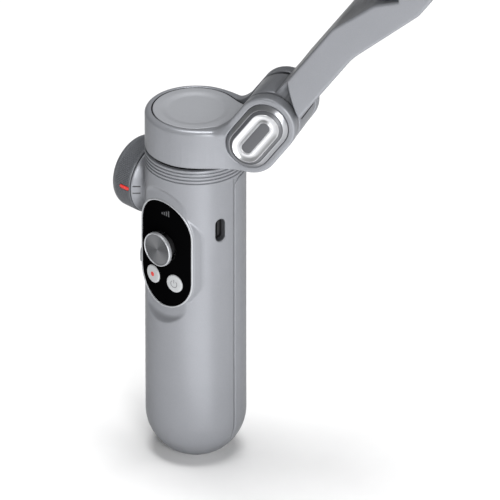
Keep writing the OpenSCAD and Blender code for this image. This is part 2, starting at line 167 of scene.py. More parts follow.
def stadium_path(l, n=28):
    """Points and outward normals round a slot shape of half length l and radius 0, lying along +x."""
    p, q = [], []
    for i in range(n + 1):
        t = -math.pi / 2 + math.pi * i / n
        p.append((l, 0)); q.append((math.cos(t), math.sin(t)))
    m = 8
    for i in range(1, m):
        p.append((l - 2 * l * i / m, 0)); q.append((0, 1))
    for i in range(n + 1):
        t = math.pi / 2 + math.pi * i / n
        p.append((-l, 0)); q.append((math.cos(t), math.sin(t)))
    for i in range(1, m):
        p.append((-l + 2 * l * i / m, 0)); q.append((0, -1))
    return np.array(p, float), np.array(q, float)


def sweep_slot(name, l, prof, place, closed=True, cap_in=False, angle=30):
    """Sweeps prof, a list of (radius, height), round a slot; place(a, b, h) gives the points in mm."""
    c, d = stadium_path(l)
    n, m = len(c), len(prof)
    vs = []
    for i in range(n):
        for r, h in prof:
            a, b = c[i] + r * d[i]
            vs.append((a, b, h))
    fs = grid_faces(n, m, wrap_u=True, wrap_v=closed)
    if cap_in:
        # fills the innermost ring with one face across the slot
        fs.append(tuple(i * m + (m - 1) for i in range(n)))
    v = np.array(vs, float)
    v = place(v[:, 0], v[:, 1], v[:, 2])
    ob = make(name, v, fs)
    fix_normals(ob)
    if angle:
        sharpen(ob, angle)
    return ob


# ------------------------------------------------------------------ distance fields, mm
def rmax(a, b, r):
    """Intersection with a rounded edge."""
    return np.minimum(np.maximum(a, b), -r) + np.hypot(np.maximum(a + r, 0), np.maximum(b + r, 0))


def rmin(a, b, r):
    """Union with a filleted corner."""
    return -rmax(-a, -b, r)


def smin(a, b, k):
    h = np.clip(0.5 + 0.5 * (b - a) / k, 0, 1)
    return b * (1 - h) + a * h - k * h * (1 - h)


def d_seg(x, y, a, b):
    ax, ay = a
    bx, by = b[0] - a[0], b[1] - a[1]
    t = np.clip(((x - ax) * bx + (y - ay) * by) / (bx * bx + by * by), 0, 1)
    return np.hypot(x - ax - t * bx, y - ay - t * by)


def d_rect(x, y, x0, x1, y0, y1):
    qx = np.abs(x - (x0 + x1) / 2) - (x1 - x0) / 2
    qy = np.abs(y - (y0 + y1) / 2) - (y1 - y0) / 2
    return np.hypot(np.maximum(qx, 0), np.maximum(qy, 0)) + np.minimum(np.maximum(qx, qy), 0)


def d_poly(x, y, pts):
    """Signed distance to a polygon in the plane."""
    pts = [np.asarray(p, float) for p in pts]
    best = np.full(x.shape, 1e9)
    inside = np.zeros(x.shape, bool)
    for i in range(len(pts)):
        a, b = pts[i - 1], pts[i]
        best = np.minimum(best, d_seg(x, y, a, b))
        cond = (a[1] > y) != (b[1] > y)
        if abs(b[1] - a[1]) > 1e-9:
            xi = a[0] + (y - a[1]) * (b[0] - a[0]) / (b[1] - a[1])
            inside ^= cond & (x < xi)
    return np.where(inside, -best, best)


def field_mesh(name, f, lo, hi, h, to=None, flat=True, angle=None):
    """A closed mesh on the zero level of f: one point per crossed cell, drawn onto the surface."""
    lo = np.array(lo, float)
    n = np.ceil((np.array(hi, float) - lo) / h).astype(int) + 1
    B = 12
    nb = (n + B - 1) // B
    F = np.empty(tuple(n), np.float32)
    ax = [lo[i] + h * np.arange(n[i]) for i in range(3)]
    # coarse pass: the blocks that the surface can cross
    cen = [lo[i] + h * (np.arange(nb[i]) * B + (B - 1) / 2.0) for i in range(3)]
    gx, gy, gz = np.meshgrid(*cen, indexing="ij")
    fc = f(gx, gy, gz)
    reach = h * B * 0.87 * 1.6 + h
    for i in range(nb[0]):
        for j in range(nb[1]):
            for k in range(nb[2]):
                sl = (slice(i * B, min((i + 1) * B, n[0])), slice(j * B, min((j + 1) * B, n[1])), slice(k * B, min((k + 1) * B, n[2])))
                if abs(fc[i, j, k]) > reach:
                    F[sl] = fc[i, j, k]
                else:
                    F[sl] = f(*np.meshgrid(ax[0][sl[0]], ax[1][sl[1]], ax[2][sl[2]], indexing="ij"))
    S = F < 0
    cnt = np.zeros(tuple(n - 1), np.int8)
    for a in (0, 1):
        for b in (0, 1):
            for c in (0, 1):
                cnt += S[a:n[0] - 1 + a, b:n[1] - 1 + b, c:n[2] - 1 + c]
    idx = np.argwhere((cnt > 0) & (cnt < 8))
    vid = np.full(tuple(n - 1), -1, np.int64)
    vid[tuple(idx.T)] = np.arange(len(idx))
    acc = np.zeros((len(idx), 3)); num = np.zeros(len(idx))
    corners = [(a, b, c) for a in (0, 1) for b in (0, 1) for c in (0, 1)]
    for ca in corners:
        for ax_i in range(3):
            if ca[ax_i]:
                continue
            cb = list(ca); cb[ax_i] = 1
            fa = F[tuple((idx + ca).T)]; fb = F[tuple((idx + cb).T)]
            cross = (fa < 0) != (fb < 0)
            t = np.where(cross, fa / np.where(cross, fa - fb, 1), 0)
            p = np.tile(np.array(ca, float), (len(idx), 1))
            p[:, ax_i] = t
            acc += p * cross[:, None]
            num += cross
    P = lo + h * (idx + acc / num[:, None])
    e = 0.03
    for _ in range(4):
        v = f(P[:, 0], P[:, 1], P[:, 2])
        g = np.stack([(f(P[:, 0] + e, P[:, 1], P[:, 2]) - f(P[:, 0] - e, P[:, 1], P[:, 2])),
                      (f(P[:, 0], P[:, 1] + e, P[:, 2]) - f(P[:, 0], P[:, 1] - e, P[:, 2])),
                      (f(P[:, 0], P[:, 1], P[:, 2] + e) - f(P[:, 0], P[:, 1], P[:, 2] - e))], 1) / (2 * e)
        gg = np.maximum((g * g).sum(1), 0.2)
        step = -(v / gg)[:, None] * g
        ln = np.linalg.norm(step, axis=1)
        step *= np.minimum(1, 0.5 * h / np.maximum(ln, 1e-9))[:, None]
        P = P + step
    faces = []
    for d in range(3):
        o = [1 if i != d else 0 for i in range(3)]
        hi_s = [n[i] - 1 for i in range(3)]
        A = S[tuple(slice(o[i], hi_s[i]) for i in range(3))]
        sh = [0, 0, 0]; sh[d] = 1
        Bq = S[tuple(slice(o[i] + sh[i], hi_s[i] + sh[i]) for i in range(3))]
        ed = np.argwhere(A != Bq) + np.array(o)
        flip = S[tuple(ed.T)]
        d1, d2 = (d + 1) % 3, (d + 2) % 3
        q = []
        for s1, s2 in ((1, 1), (0, 1), (0, 0), (1, 0)):
            c = ed.copy(); c[:, d1] -= s1; c[:, d2] -= s2
            q.append(vid[tuple(c.T)])
        q = np.stack(q, 1)
        q[~flip] = q[~flip][:, ::-1]
        faces.append(q)
    faces = np.concatenate(faces)
    faces = faces[(faces >= 0).all(1)]
    if to is not None:
        P = to(P)
    me = bpy.data.meshes.new(name)
    me.vertices.add(len(P)); me.vertices.foreach_set("co", (P / 1000.0).astype(np.float32).ravel())
    me.loops.add(len(faces) * 4); me.loops.foreach_set("vertex_index", faces.astype(np.int32).ravel())
    me.polygons.add(len(faces)); me.polygons.foreach_set("loop_start", np.arange(0, len(faces) * 4, 4, dtype=np.int32))
    me.update(calc_edges=True); me.validate()
    me.polygons.foreach_set("use_smooth", np.ones(len(faces), bool))
    ob = bpy.data.objects.new(name, me)
    scene.collection.objects.link(ob)
    if flat:
        # large level areas become large faces
        bpy.context.view_layer.objects.active = ob
        md = ob.modifiers.new("plane", "DECIMATE")
        md.decimate_type = "DISSOLVE"; md.angle_limit = math.radians(0.35)
        apply_mods(ob)
    return ob


def apply_mods(ob):
    dg = bpy.context.evaluated_depsgraph_get()
    me = bpy.data.meshes.new_from_object(ob.evaluated_get(dg))
    old = ob.data
    ob.modifiers.clear()
    ob.data = me
    me.name = ob.name
    bpy.data.meshes.remove(old)


def bevel(ob, w, seg=3, angle=35):
    b = ob.modifiers.new("edge", "BEVEL")
    b.width = w / 1000.0; b.segments = seg; b.limit_method = "ANGLE"; b.angle_limit = math.radians(angle)
    b.harden_normals = False
    return ob


def cut(ob, tool):
    """Cuts tool out of ob and removes tool."""
    b = ob.modifiers.new("cut", "BOOLEAN")
    b.operation = "DIFFERENCE"; b.object = tool; b.solver = "MANIFOLD"
    apply_mods(ob)
    bpy.data.objects.remove(tool, do_unlink=True)
    return ob


# ------------------------------------------------------------------ materials
def nodes_of(name):
    m = bpy.data.materials.new(name)
    m.use_nodes = True
    nt = m.node_tree
    b = nt.nodes["Principled BSDF"]
    return m, nt, b


def set_in(b, **kw):
    for k, v in kw.items():
        b.inputs[k.replace("_", " ")].default_value = v


def objcoord(nt):
    return nt.nodes.new("ShaderNodeTexCoord").outputs["Object"]


def noise(nt, scale, detail=4, rough=0.55):
    n = nt.nodes.new("ShaderNodeTexNoise")
    n.inputs["Scale"].default_value = scale
    n.inputs["Detail"].default_value = detail
    n.inputs["Roughness"].default_value = rough
    nt.links.new(objcoord(nt), n.inputs["Vector"])
    return n.outputs["Fac"]


def ramp(nt, fac, stops):
    r = nt.nodes.new("ShaderNodeValToRGB")
    el = r.color_ramp.elements
    while len(el) < len(stops):
        el.new(0.5)
    for e, (p, c) in zip(el, stops):
        e.position = p
        e.color = (c[0], c[1], c[2], 1) if hasattr(c, "__len__") else (c, c, c, 1)
    nt.links.new(fac, r.inputs["Fac"])
    return r.outputs["Color"]


def maprange(nt, fac, lo, hi):
    m = nt.nodes.new("ShaderNodeMapRange")
    m.inputs["From Min"].default_value = 0.3
    m.inputs["From Max"].default_value = 0.7
    m.inputs["To Min"].default_value = lo
    m.inputs["To Max"].default_value = hi
    nt.links.new(fac, m.inputs["Value"])
    return m.outputs["Result"]


def bump(nt, b, fac, strength, dist):
    n = nt.nodes.new("ShaderNodeBump")
    n.inputs["Strength"].default_value = strength
    n.inputs["Distance"].default_value = dist
    nt.links.new(fac, n.inputs["Height"])
    nt.links.new(n.outputs["Normal"], b.inputs["Normal"])


def paint(name, col, rough=0.4, metallic=0.0, var=0.03, grain=9000, bump_s=0.05, spread=0.05, coat=0.0, coat_r=0.3, edge=0.0, spec=0.35, crease_shade=0.0):
    """Sprayed or moulded finish: fine grain in the surface, slow drift in tone, a painted highlight lightening convex
    edges where edge is above 0, and painted shade darkening concave creases by the last argument.
    """
    m, nt, b = nodes_of(name)
    slow = noise(nt, 55, 3)
    c = np.array(col)
    base = ramp(nt, slow, [(0.3, c * (1 - var)), (0.7, c * (1 + var))])
    fleck = noise(nt, grain * 0.35, 2, 0.7)
    mix = nt.nodes.new("ShaderNodeMixRGB")
    mix.blend_type = "OVERLAY"
    mix.inputs["Fac"].default_value = 0.10
    nt.links.new(base, mix.inputs["Color1"])
    nt.links.new(fleck, mix.inputs["Color2"])
    out = mix.outputs["Color"]
    # painted highlight: convex edges, picked by pointiness, lighten towards 1.5 times the colour
    if edge > 0:
        g = nt.nodes.new("ShaderNodeNewGeometry")
        e = ramp(nt, g.outputs["Pointiness"], [(0.52, 0.0), (0.60, edge)])
        mx = nt.nodes.new("ShaderNodeMixRGB")
        mx.inputs["Color2"].default_value = (min(1, col[0] * 1.5), min(1, col[1] * 1.5), min(1, col[2] * 1.5), 1)
        nt.links.new(e, mx.inputs["Fac"])
        nt.links.new(out, mx.inputs["Color1"])
        out = mx.outputs["Color"]
    # painted shade: concave creases, picked by pointiness, darken towards 0.3 times the colour
    if crease_shade > 0:
        g = nt.nodes.new("ShaderNodeNewGeometry")
        e = ramp(nt, g.outputs["Pointiness"], [(0.44, crease_shade), (0.494, 0.0)])
        mx = nt.nodes.new("ShaderNodeMixRGB")
        mx.inputs["Color2"].default_value = (col[0] * 0.3, col[1] * 0.3, col[2] * 0.3, 1)
        nt.links.new(e, mx.inputs["Fac"])
        nt.links.new(out, mx.inputs["Color1"])
        out = mx.outputs["Color"]
    nt.links.new(out, b.inputs["Base Color"])
    nt.links.new(maprange(nt, noise(nt, 420, 4), rough - spread, rough + spread), b.inputs["Roughness"])
    set_in(b, Metallic=metallic, Coat_Weight=coat, Coat_Roughness=coat_r, Specular_IOR_Level=spec)
    if bump_s > 0:
        bump(nt, b, noise(nt, grain, 2, 0.6), bump_s, 0.00004)
    return m


def polished(name, col, rough=0.2, metallic=0.9):
    """Plated finish: clean, with a very slow drift in tone and gloss."""
    m, nt, b = nodes_of(name)
    n = noise(nt, 40, 2)
    c = np.array(col)
    nt.links.new(ramp(nt, n, [(0.3, c * 0.98), (0.7, np.minimum(1, c * 1.02))]), b.inputs["Base Color"])
    nt.links.new(maprange(nt, noise(nt, 90, 2), rough - 0.02, rough + 0.02), b.inputs["Roughness"])
    set_in(b, Metallic=metallic, Specular_IOR_Level=0.4)
    return m


def brushed(name, col, rough=0.28, axis=(1, 1, 60), var=0.12, metallic=1.0, aniso=0.0):
    """Metal with fine lines: noise stretched along one axis drives tone, roughness and relief."""
    m, nt, b = nodes_of(name)
    mp = nt.nodes.new("ShaderNodeMapping")
    mp.inputs["Scale"].default_value = axis
    nt.links.new(objcoord(nt), mp.inputs["Vector"])
    n = nt.nodes.new("ShaderNodeTexNoise")
    n.inputs["Scale"].default_value = 900
    n.inputs["Detail"].default_value = 3
    nt.links.new(mp.outputs["Vector"], n.inputs["Vector"])
    c = np.array(col)
    nt.links.new(ramp(nt, n.outputs["Fac"], [(0.3, c * (1 - var)), (0.7, np.minimum(1, c * (1 + var)))]), b.inputs["Base Color"])
    nt.links.new(maprange(nt, n.outputs["Fac"], rough - 0.06, rough + 0.06), b.inputs["Roughness"])
    set_in(b, Metallic=metallic)
    bump(nt, b, n.outputs["Fac"], 0.06, 0.00003)
    return m


M = {}
# the shell grey has painted shade in its creases; it, the top plate, dark plastic and wheel graphite have a painted
# highlight on convex edges
M["shell"] = paint("shell_grey", (0.250, 0.257, 0.276), rough=0.36, metallic=0.35, var=0.018, edge=0.08, spec=0.15, crease_shade=0.7)
M["shell_dark"] = paint("shell_grey_inner", (0.20, 0.206, 0.222), rough=0.5, metallic=0.08, var=0.02)
M["cover"] = paint("top_plate_grey", (0.295, 0.302, 0.320), rough=0.42, metallic=0.12, var=0.018, edge=0.08, spec=0.20)
M["black_gloss"] = paint("panel_black", (0.0014, 0.0014, 0.0016), rough=0.2, var=0.1, bump_s=0.0, spread=0.03, spec=0.0)
M["black"] = paint("black_plastic", (0.012, 0.012, 0.013), rough=0.5, var=0.08)
M["dark"] = paint("dark_grey_plastic", (0.055, 0.057, 0.062), rough=0.46, var=0.05, edge=0.1)
M["graphite"] = paint("wheel_graphite", (0.105, 0.11, 0.12), rough=0.42, metallic=0.2, var=0.05, edge=0.15)
M["insert"] = paint("badge_insert_grey", (0.100, 0.102, 0.110), rough=0.38, metallic=0.3, var=0.04)
M["key"] = paint("key_light_grey", (0.42, 0.43, 0.44), rough=0.42, var=0.02, coat=0.05)
M["red"] = paint("index_red", (0.62, 0.022, 0.016), rough=0.38, var=0.06)
M["mark"] = paint("key_mark_grey", (0.17, 0.172, 0.18), rough=0.5, var=0.03)
M["tick"] = paint("tick_dark", (0.03, 0.03, 0.033), rough=0.55, var=0.03)
M["glow"] = paint("display_dim", (0.060, 0.062, 0.066), rough=0.35, var=0.05, bump_s=0.0)
M["rubber"] = paint("pad_rubber", (0.018, 0.018, 0.019), rough=0.72, var=0.1, grain=5000, bump_s=0.25)
M["chrome"] = polished("satin_chrome", (0.30, 0.305, 0.32), 0.30, 0.8)
M["chrome_dish"] = polished("polished_dish", (0.58, 0.585, 0.60), 0.30, 0.7)
M["motor_black"] = paint("motor_black", (0.003, 0.003, 0.0033), rough=0.6, var=0.08, spec=0.1)
M["chrome_dark"] = brushed("dark_chrome", (0.16, 0.165, 0.175), rough=0.22, axis=(1, 1, 1), var=0.05)
M["steel"] = brushed("ground_steel", (0.50, 0.51, 0.53), rough=0.30, axis=(1, 1, 8))
# a lighter copy of the shell grey: painted highlight for the rim round the panel
M["rim"] = paint("panel_rim_highlight", (0.40, 0.41, 0.43), rough=0.34, metallic=0.35, var=0.02, coat=0.2, coat_r=0.2)
M["sleeve"] = paint("port_sleeve_grey", (0.075, 0.078, 0.085), rough=0.45, metallic=0.2, var=0.03)
M["silver"] = brushed("stick_silver", (0.43, 0.44, 0.46), rough=0.36, axis=(1, 8, 1), var=0.06, metallic=0.55)
M["brass"] = brushed("turned_brass", (0.60, 0.42, 0.16), rough=0.3, axis=(1, 1, 20))
M["copper"] = paint("copper_winding", (0.45, 0.17, 0.06), rough=0.35, metallic=0.8, var=0.15)
M["magnet"] = paint("magnet_plating", (0.22, 0.22, 0.24), rough=0.3, metallic=0.9, var=0.05)
M["board"] = paint("board_green", (0.015, 0.12, 0.045), rough=0.4, var=0.1)
M["cell"] = paint("cell_sleeve", (0.05, 0.10, 0.26), rough=0.35, var=0.06)
M["washer"] = paint("washer_plastic", (0.5, 0.45, 0.32), rough=0.5, var=0.05)


def stick_top():
    """Turned face with a fan of fine radial lines about the stick's centre, and two broad fans of painted reflection.
    """
    m, nt, b = nodes_of("stick_brushed_top")
    tc = objcoord(nt)
    sp = nt.nodes.new("ShaderNodeSeparateXYZ")
    nt.links.new(tc, sp.inputs[0])
    dz = nt.nodes.new("ShaderNodeMath"); dz.operation = "SUBTRACT"
    nt.links.new(sp.outputs["Z"], dz.inputs[0]); dz.inputs[1].default_value = SZ / 1000
    at = nt.nodes.new("ShaderNodeMath"); at.operation = "ARCTAN2"
    nt.links.new(dz.outputs[0], at.inputs[0]); nt.links.new(sp.outputs["X"], at.inputs[1])
    n1 = nt.nodes.new("ShaderNodeTexNoise"); n1.noise_dimensions = "1D"
    n1.inputs["Scale"].default_value = 26; n1.inputs["Detail"].default_value = 4
    nt.links.new(at.outputs[0], n1.inputs["W"])
    # two broad dark and light fans: a painted reflection of the kind that light draws on a lathe-turned face
    f = nt.nodes.new("ShaderNodeMath"); f.operation = "MULTIPLY_ADD"
    nt.links.new(at.outputs[0], f.inputs[0]); f.inputs[1].default_value = 2.0; f.inputs[2].default_value = 2.2
    cs = nt.nodes.new("ShaderNodeMath"); cs.operation = "COSINE"
    nt.links.new(f.outputs[0], cs.inputs[0])
    ad = nt.nodes.new("ShaderNodeMath"); ad.operation = "MULTIPLY_ADD"
    nt.links.new(cs.outputs[0], ad.inputs[0]); ad.inputs[1].default_value = 0.30
    nt.links.new(n1.outputs["Fac"], ad.inputs[2])
    nt.links.new(ramp(nt, ad.outputs[0], [(0.15, (0.045, 0.047, 0.051)), (0.5, (0.105, 0.108, 0.115)), (0.85, (0.155, 0.158, 0.166))]), b.inputs["Base Color"])
    nt.links.new(maprange(nt, n1.outputs["Fac"], 0.36, 0.50), b.inputs["Roughness"])
    set_in(b, Metallic=0.55)
    bump(nt, b, n1.outputs["Fac"], 0.05, 0.00003)
    return m


M["stick_top"] = stick_top()
# the shells stay dark towards their silhouette
for k in ("shell", "cover"):
    next(n for n in M[k].node_tree.nodes if n.type == "BSDF_PRINCIPLED").inputs["Specular Tint"].default_value = (0.2, 0.2, 0.2, 1)


def put(ob, mat, body, *nodes, slot=None):
    """Gives a new piece its finish, its body and the nodes that it stands for."""
    ob.data.materials.clear()
    ob.data.materials.append(M[mat])
    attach(ob, body)
    if nodes:
        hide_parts(*nodes)
    return ob


# finishes of the CAD pieces that stay as they are
CAD_LOOK = {
    "motor_black": ["motor_base"],
    "black": ["joystick_module", "tact_switches", "wheel_encoder", "joystick_stem", "display_module"],
    "steel": ["motor_screws", "pan_bearings", "pan_shaft", "hinge_pin", "roll_bearings", "roll_shaft", "tilt_bearings", "tilt_shaft", "jaw_rods", "clamp_spring", "wheel_shaft", "joystick_yoke", "arm_cover_screws"],
    "brass": ["tripod_insert"], "copper": ["pan_stator", "roll_stator", "tilt_stator"], "magnet": ["pan_magnets", "roll_magnets", "tilt_magnets"],
    "board": ["main_board"], "cell": ["battery_cell"], "washer": ["hinge_washers"],
    "shell": ["hinge_far_cap", "arm_cover"],
}
for mat, names in CAD_LOOK.items():
    for nm in names:
        o = N[nm]
        for s in o.material_slots:
            s.material = M[mat]
        if not o.material_slots:
            o.data.materials.append(M[mat])


# ------------------------------------------------------------------ grip
def d_slot(x, z, hw=PHW, hh=PHH, zc=PZ):
    return np.hypot(x, np.maximum(np.abs(z - zc) - (hh - hw), 0)) - hw


def grip_field(x, y, z):
    """The grip, with the level seat of the control panel: cut in at the top, standing proud at the sides."""
    r = np.hypot(x, y)
    a = r - R
    q = np.hypot(x, y - CY) - CROWN
    d = d_slot(x, z)
    dl = math.radians(25)
    p = np.maximum(rmax(q, (d - 1.0) * math.cos(dl) + q * math.sin(dl), 0.3), y + 5)
    d2 = math.radians(50)
    c = np.maximum(rmax(-q, (d - 4.6) * math.cos(d2) - q * math.sin(d2), 0.7), y + 5)
    f = rmin(a, p, 0.3)
    return rmax(f, -c, 0.35)


def grip_radius(psi, z):
    """Radius of the outer surface at an angle from the front, by halving."""
    lo = np.full(psi.shape, 14.0); hi = np.full(psi.shape, 26.0)
    for _ in range(30):
        mid = (lo + hi) / 2
        inside = grip_field(mid * np.sin(psi), -mid * np.cos(psi), z) < 0
        lo = np.where(inside, mid, lo); hi = np.where(inside, hi, mid)
    r = (lo + hi) / 2
    # under the panel the surface drops away
    d = d_slot(r * np.sin(psi), z)
    return r - 0.9 * np.clip((0.35 - d) / 0.4, 0, 1) * (np.cos(psi) > 0)


GROOVES = [128.3 + i * 1.47 for i in range(4)]


def groove_depth(z):
    dep = np.zeros_like(z)
    for g in GROOVES:
        dep = np.maximum(dep, 0.42 * np.clip((0.36 - np.abs(z - g)) / 0.16, 0, 1))
    return dep


def edge_fall(t, r=0.45):
    """Depth of a rounded edge at a distance t inside it."""
    t = np.clip(t, 0, r)
    return r - np.sqrt(np.maximum(r * r - (r - t) ** 2, 0))


def rows_low():
    z = [BALL - R * math.cos(t) for t in np.linspace(math.acos(BALL / R), math.pi / 2, 30)]
    return z


def profile_r(z):
    return np.where(z < BALL, np.sqrt(np.maximum(R * R - (z - BALL) ** 2, 0)), R)


def shell_piece(name, P_out, P_in):
    """A closed wall from an outer and an inner grid of the same shape."""
    nu, nv = P_out.shape[:2]
    v = np.concatenate([P_out.reshape(-1, 3), P_in.reshape(-1, 3)])
    o = nu * nv
    f = grid_faces(nu, nv) + [tuple(reversed(q)) for q in grid_faces(nu, nv, off=o)]
    for i in range(nu - 1):
        f.append((i * nv, o + i * nv, o + (i + 1) * nv, (i + 1) * nv))
        j = nv - 1
        f.append(((i + 1) * nv + j, o + (i + 1) * nv + j, o + i * nv + j, i * nv + j))
    for j in range(nv - 1):
        f.append((j + 1, o + j + 1, o + j, j))
        b = (nu - 1) * nv
        f.append((b + j, o + b + j, o + b + j + 1, b + j + 1))
    ob = make(name, v, f)
    fix_normals(ob)
    return ob


SEAM = 1.5
COVER_Z = 126.6


def front_grid():
    zl = rows_low()
    z = np.array(zl + [24, 36, 48, 56] + list(np.arange(59.0, 127.0, 0.32)) + list(np.arange(127.1, 133.4, 0.12)) + [133.5, 133.6, 133.7, 133.8, 133.88, 133.95, 134.0])
    a = np.concatenate([[-1, -0.9985, -0.9965, -0.994, -0.990, -0.98], np.linspace(-0.955, -0.72, 10), np.linspace(-0.705, 0.60, 230), np.linspace(0.612, 0.92, 40), [0.94, 0.96, 0.98, 0.990, 0.994, 0.9965, 0.9985, 1]])
    A, Z = np.meshgrid(a, z, indexing="ij")
    rho = profile_r(Z)
    pmax = math.pi / 2 + np.arcsin(np.clip((SEAM - 0.27) / np.maximum(rho, 2), -1, 1))
    psi = A * pmax
    r = np.where(Z > 50, grip_radius(psi, Z), rho)
    r = r - groove_depth(Z)
    t = (1 - np.abs(A)) * pmax * rho
    r = r - edge_fall(t, 0.5) * (Z < COVER_Z + 0.5) - edge_fall(134.0 - Z, 0.5)
    out = np.stack([r * np.sin(psi), -r * np.cos(psi), Z], -1)
    ri = np.maximum(np.minimum(r, R) - 2.6, 0.5)
    ri = np.where((Z > 60) & (np.abs(psi) < 1.2), np.minimum(ri, 13.5), ri)
    zi = np.where(Z < BALL, np.maximum(Z + 1.6 * (BALL - Z) / BALL, 1.6), Z)
    inn = np.stack([ri * np.sin(psi), -ri * np.cos(psi), zi], -1)
    return out, inn


def collar_grid():
    """The back of the collar, above the rear cover."""
    ang = np.linspace(-1, 1, 90)
    rows = np.concatenate([[0, 0.03, 0.06, 0.1, 0.16], np.linspace(0.2, 1, 40)])
    A, T = np.meshgrid(ang, rows, indexing="ij")
    pm = math.pi / 2 - math.asin((SEAM - 0.27) / R)
    psi = A * pm
    t = (1 - np.abs(A)) * pm * R
    zlow = COVER_Z + 0.12 - (4.5 - np.sqrt(np.maximum(4.5 ** 2 - (4.5 - np.clip(t, 0, 4.5)) ** 2, 0)))
    Z = zlow + (127.1 - zlow) * np.clip(T / 0.25, 0, 1)
    up_z = np.array(list(np.arange(127.1, 133.4, 0.12)) + [133.5, 133.6, 133.7, 133.8, 133.88, 133.95, 134.0])
    T2 = rows[:12] / rows[11]
    A, T = np.meshgrid(ang, T2, indexing="ij")
    zl = zlow[:, :1]
    Zl = zl + (127.05 - zl) * T
    Z = np.concatenate([Zl, np.tile(up_z, (len(ang), 1))], 1)
    psi = np.tile((ang * pm)[:, None], (1, Z.shape[1]))
    r = R - groove_depth(Z) - edge_fall(134.0 - Z, 0.5) - edge_fall(np.maximum(Z - zl, 0), 0.5)
    out = np.stack([r * np.sin(psi), r * np.cos(psi), Z], -1)
    ri = R - 2.6 + 0 * r
    inn = np.stack([ri * np.sin(psi), ri * np.cos(psi), Z], -1)
    return out, inn


def cover_grid():
    ang = np.concatenate([[-1, -0.9985, -0.9965, -0.994, -0.990, -0.98], np.linspace(-0.965, 0.965, 80), [0.98, 0.990, 0.994, 0.9965, 0.9985, 1]])
    z0 = np.array(rows_low() + [24, 36, 48, 60, 72, 84, 96, 106, 112, 116, 118, 120] + list(np.linspace(121, 125.2, 14)) + [125.5, 125.8, 126.0, 126.2, 126.35, 126.48])
    A, Z = np.meshgrid(ang, z0, indexing="ij")
    rho = profile_r(Z)
    pm = math.pi / 2 - np.arcsin(np.clip((SEAM + 0.27) / np.maximum(rho, 2), -1, 1))
    psi = A * pm
    t = (1 - np.abs(A)) * pm * rho
    drop = 4.5 - np.sqrt(np.maximum(4.5 ** 2 - (4.5 - np.clip(t, 0, 4.5)) ** 2, 0))
    k = np.clip((Z - 116) / (126.48 - 116), 0, 1)
    Zc = Z - drop * k
    top = 126.48 - drop
    r = rho - edge_fall(np.minimum(t, np.maximum(top - Zc, 0)), 0.5)
    out = np.stack([r * np.sin(psi), r * np.cos(psi), Zc], -1)
    ri = np.maximum(r - 2.3, 0.5)
    zi = np.where(Zc < BALL, np.maximum(Zc + 1.6 * (BALL - Zc) / BALL, 1.6), Zc)
    inn = np.stack([ri * np.sin(psi), ri * np.cos(psi), zi], -1)
    return out, inn


def slot_tool(hw, hh, depth0, depth1, ang, zc, flare=0.0):
    """An upright slot-shaped cutter pointing out at an angle from the front."""
    def place(a, b, h):
        loc = np.stack([b, -h, a + zc], -1)      # slot lies along z
        return rot_z(loc, ang)
    prof = [(hw, depth0), (hw, depth1 - flare), (hw + flare, depth1), (hw + flare, depth1 + 6)]
    c, d = stadium_path(hh - hw, 14)
    n, m = len(c), len(prof)
    vs = np.array([(*(c[i] + r * d[i]), h) for i in range(n) for r, h in prof])
    fs = grid_faces(n, m, wrap_u=True)
    fs.append(tuple(i * m for i in range(n)))
    fs.append(tuple(i * m + m - 1 for i in reversed(range(n))))
    ob = make("tool", place(vs[:, 0], vs[:, 1], vs[:, 2]), fs)
    fix_normals(ob)
    return ob


front = shell_piece("grip_front", *front_grid())
cut(front, slot_tool(2.2, 4.95, 10, 20.0, USB_A, USB_Z, 0.35))
cut(front, slot_tool(2.15, 3.35, 10, 20.0, -SIDE_A, SIDE_Z, 0.2))
# window under the control panel
cut(front, slot_tool(PHW - 1.8, PHH - 1.8, 10, 24.0, 0, PZ))
put(front, "shell", "handle", "front_shell", slot="shell_grey")
sharpen(front, 40)
collar = put(shell_piece("grip_collar_back", *collar_grid()), "shell", "handle", slot="shell_grey")
rear = put(shell_piece("grip_rear_cover", *cover_grid()), "shell", "handle", "rear_cover", slot="shell_grey")
for o in (collar, rear):
    sharpen(o, 50)

# a black sheet behind the seams: painted shade that keeps the seam gaps dark
def seam_shade_grid():
    ang = np.linspace(math.radians(88), math.radians(272), 60)
    z = np.array(rows_low()[1:] + [40, 80, 110, 127.4])
    A, Z = np.meshgrid(ang, z, indexing="ij")
    rr = profile_r(Z)
    o = np.maximum(rr - 0.9, 1.0); i = np.maximum(rr - 1.6, 0.6)
    zo = np.where(Z < BALL, Z + 0.5, Z)
    return np.stack([o * np.sin(A), -o * np.cos(A), zo], -1), np.stack([i * np.sin(A), -i * np.cos(A), zo + 0.05 * (Z < BALL)], -1)


put(shell_piece("seam_shade_sheet", *seam_shade_grid()), "black", "handle", slot="black_plastic")


# ------------------------------------------------------------------ control panel
def on_crown(a, b, h):
    """Points on the panel's crown: a up from the panel's middle, b across, h above the crown."""
    return np.stack([b, CY - np.sqrt(np.maximum((CROWN + h) ** 2 - b * b, 0)), PZ + a], -1)


def slot_solid(name, l, rings, place, n=44, angle=30):
    """A closed solid from slot-shaped rings (radius, height), capped at both ends."""
    c, d = stadium_path(l, n)
    k, m = len(c), len(rings)
    vs = np.array([(*(c[i] + r * d[i]), h) for i in range(k) for r, h in rings], float)
    fs = grid_faces(k, m, wrap_u=True)
    fs.append(tuple(i * m for i in range(k)))
    fs.append(tuple(i * m + m - 1 for i in reversed(range(k))))
    ob = make(name, place(vs[:, 0], vs[:, 1], vs[:, 2]), fs)
    fix_normals(ob)
    if angle:
        sharpen(ob, angle)
    return ob


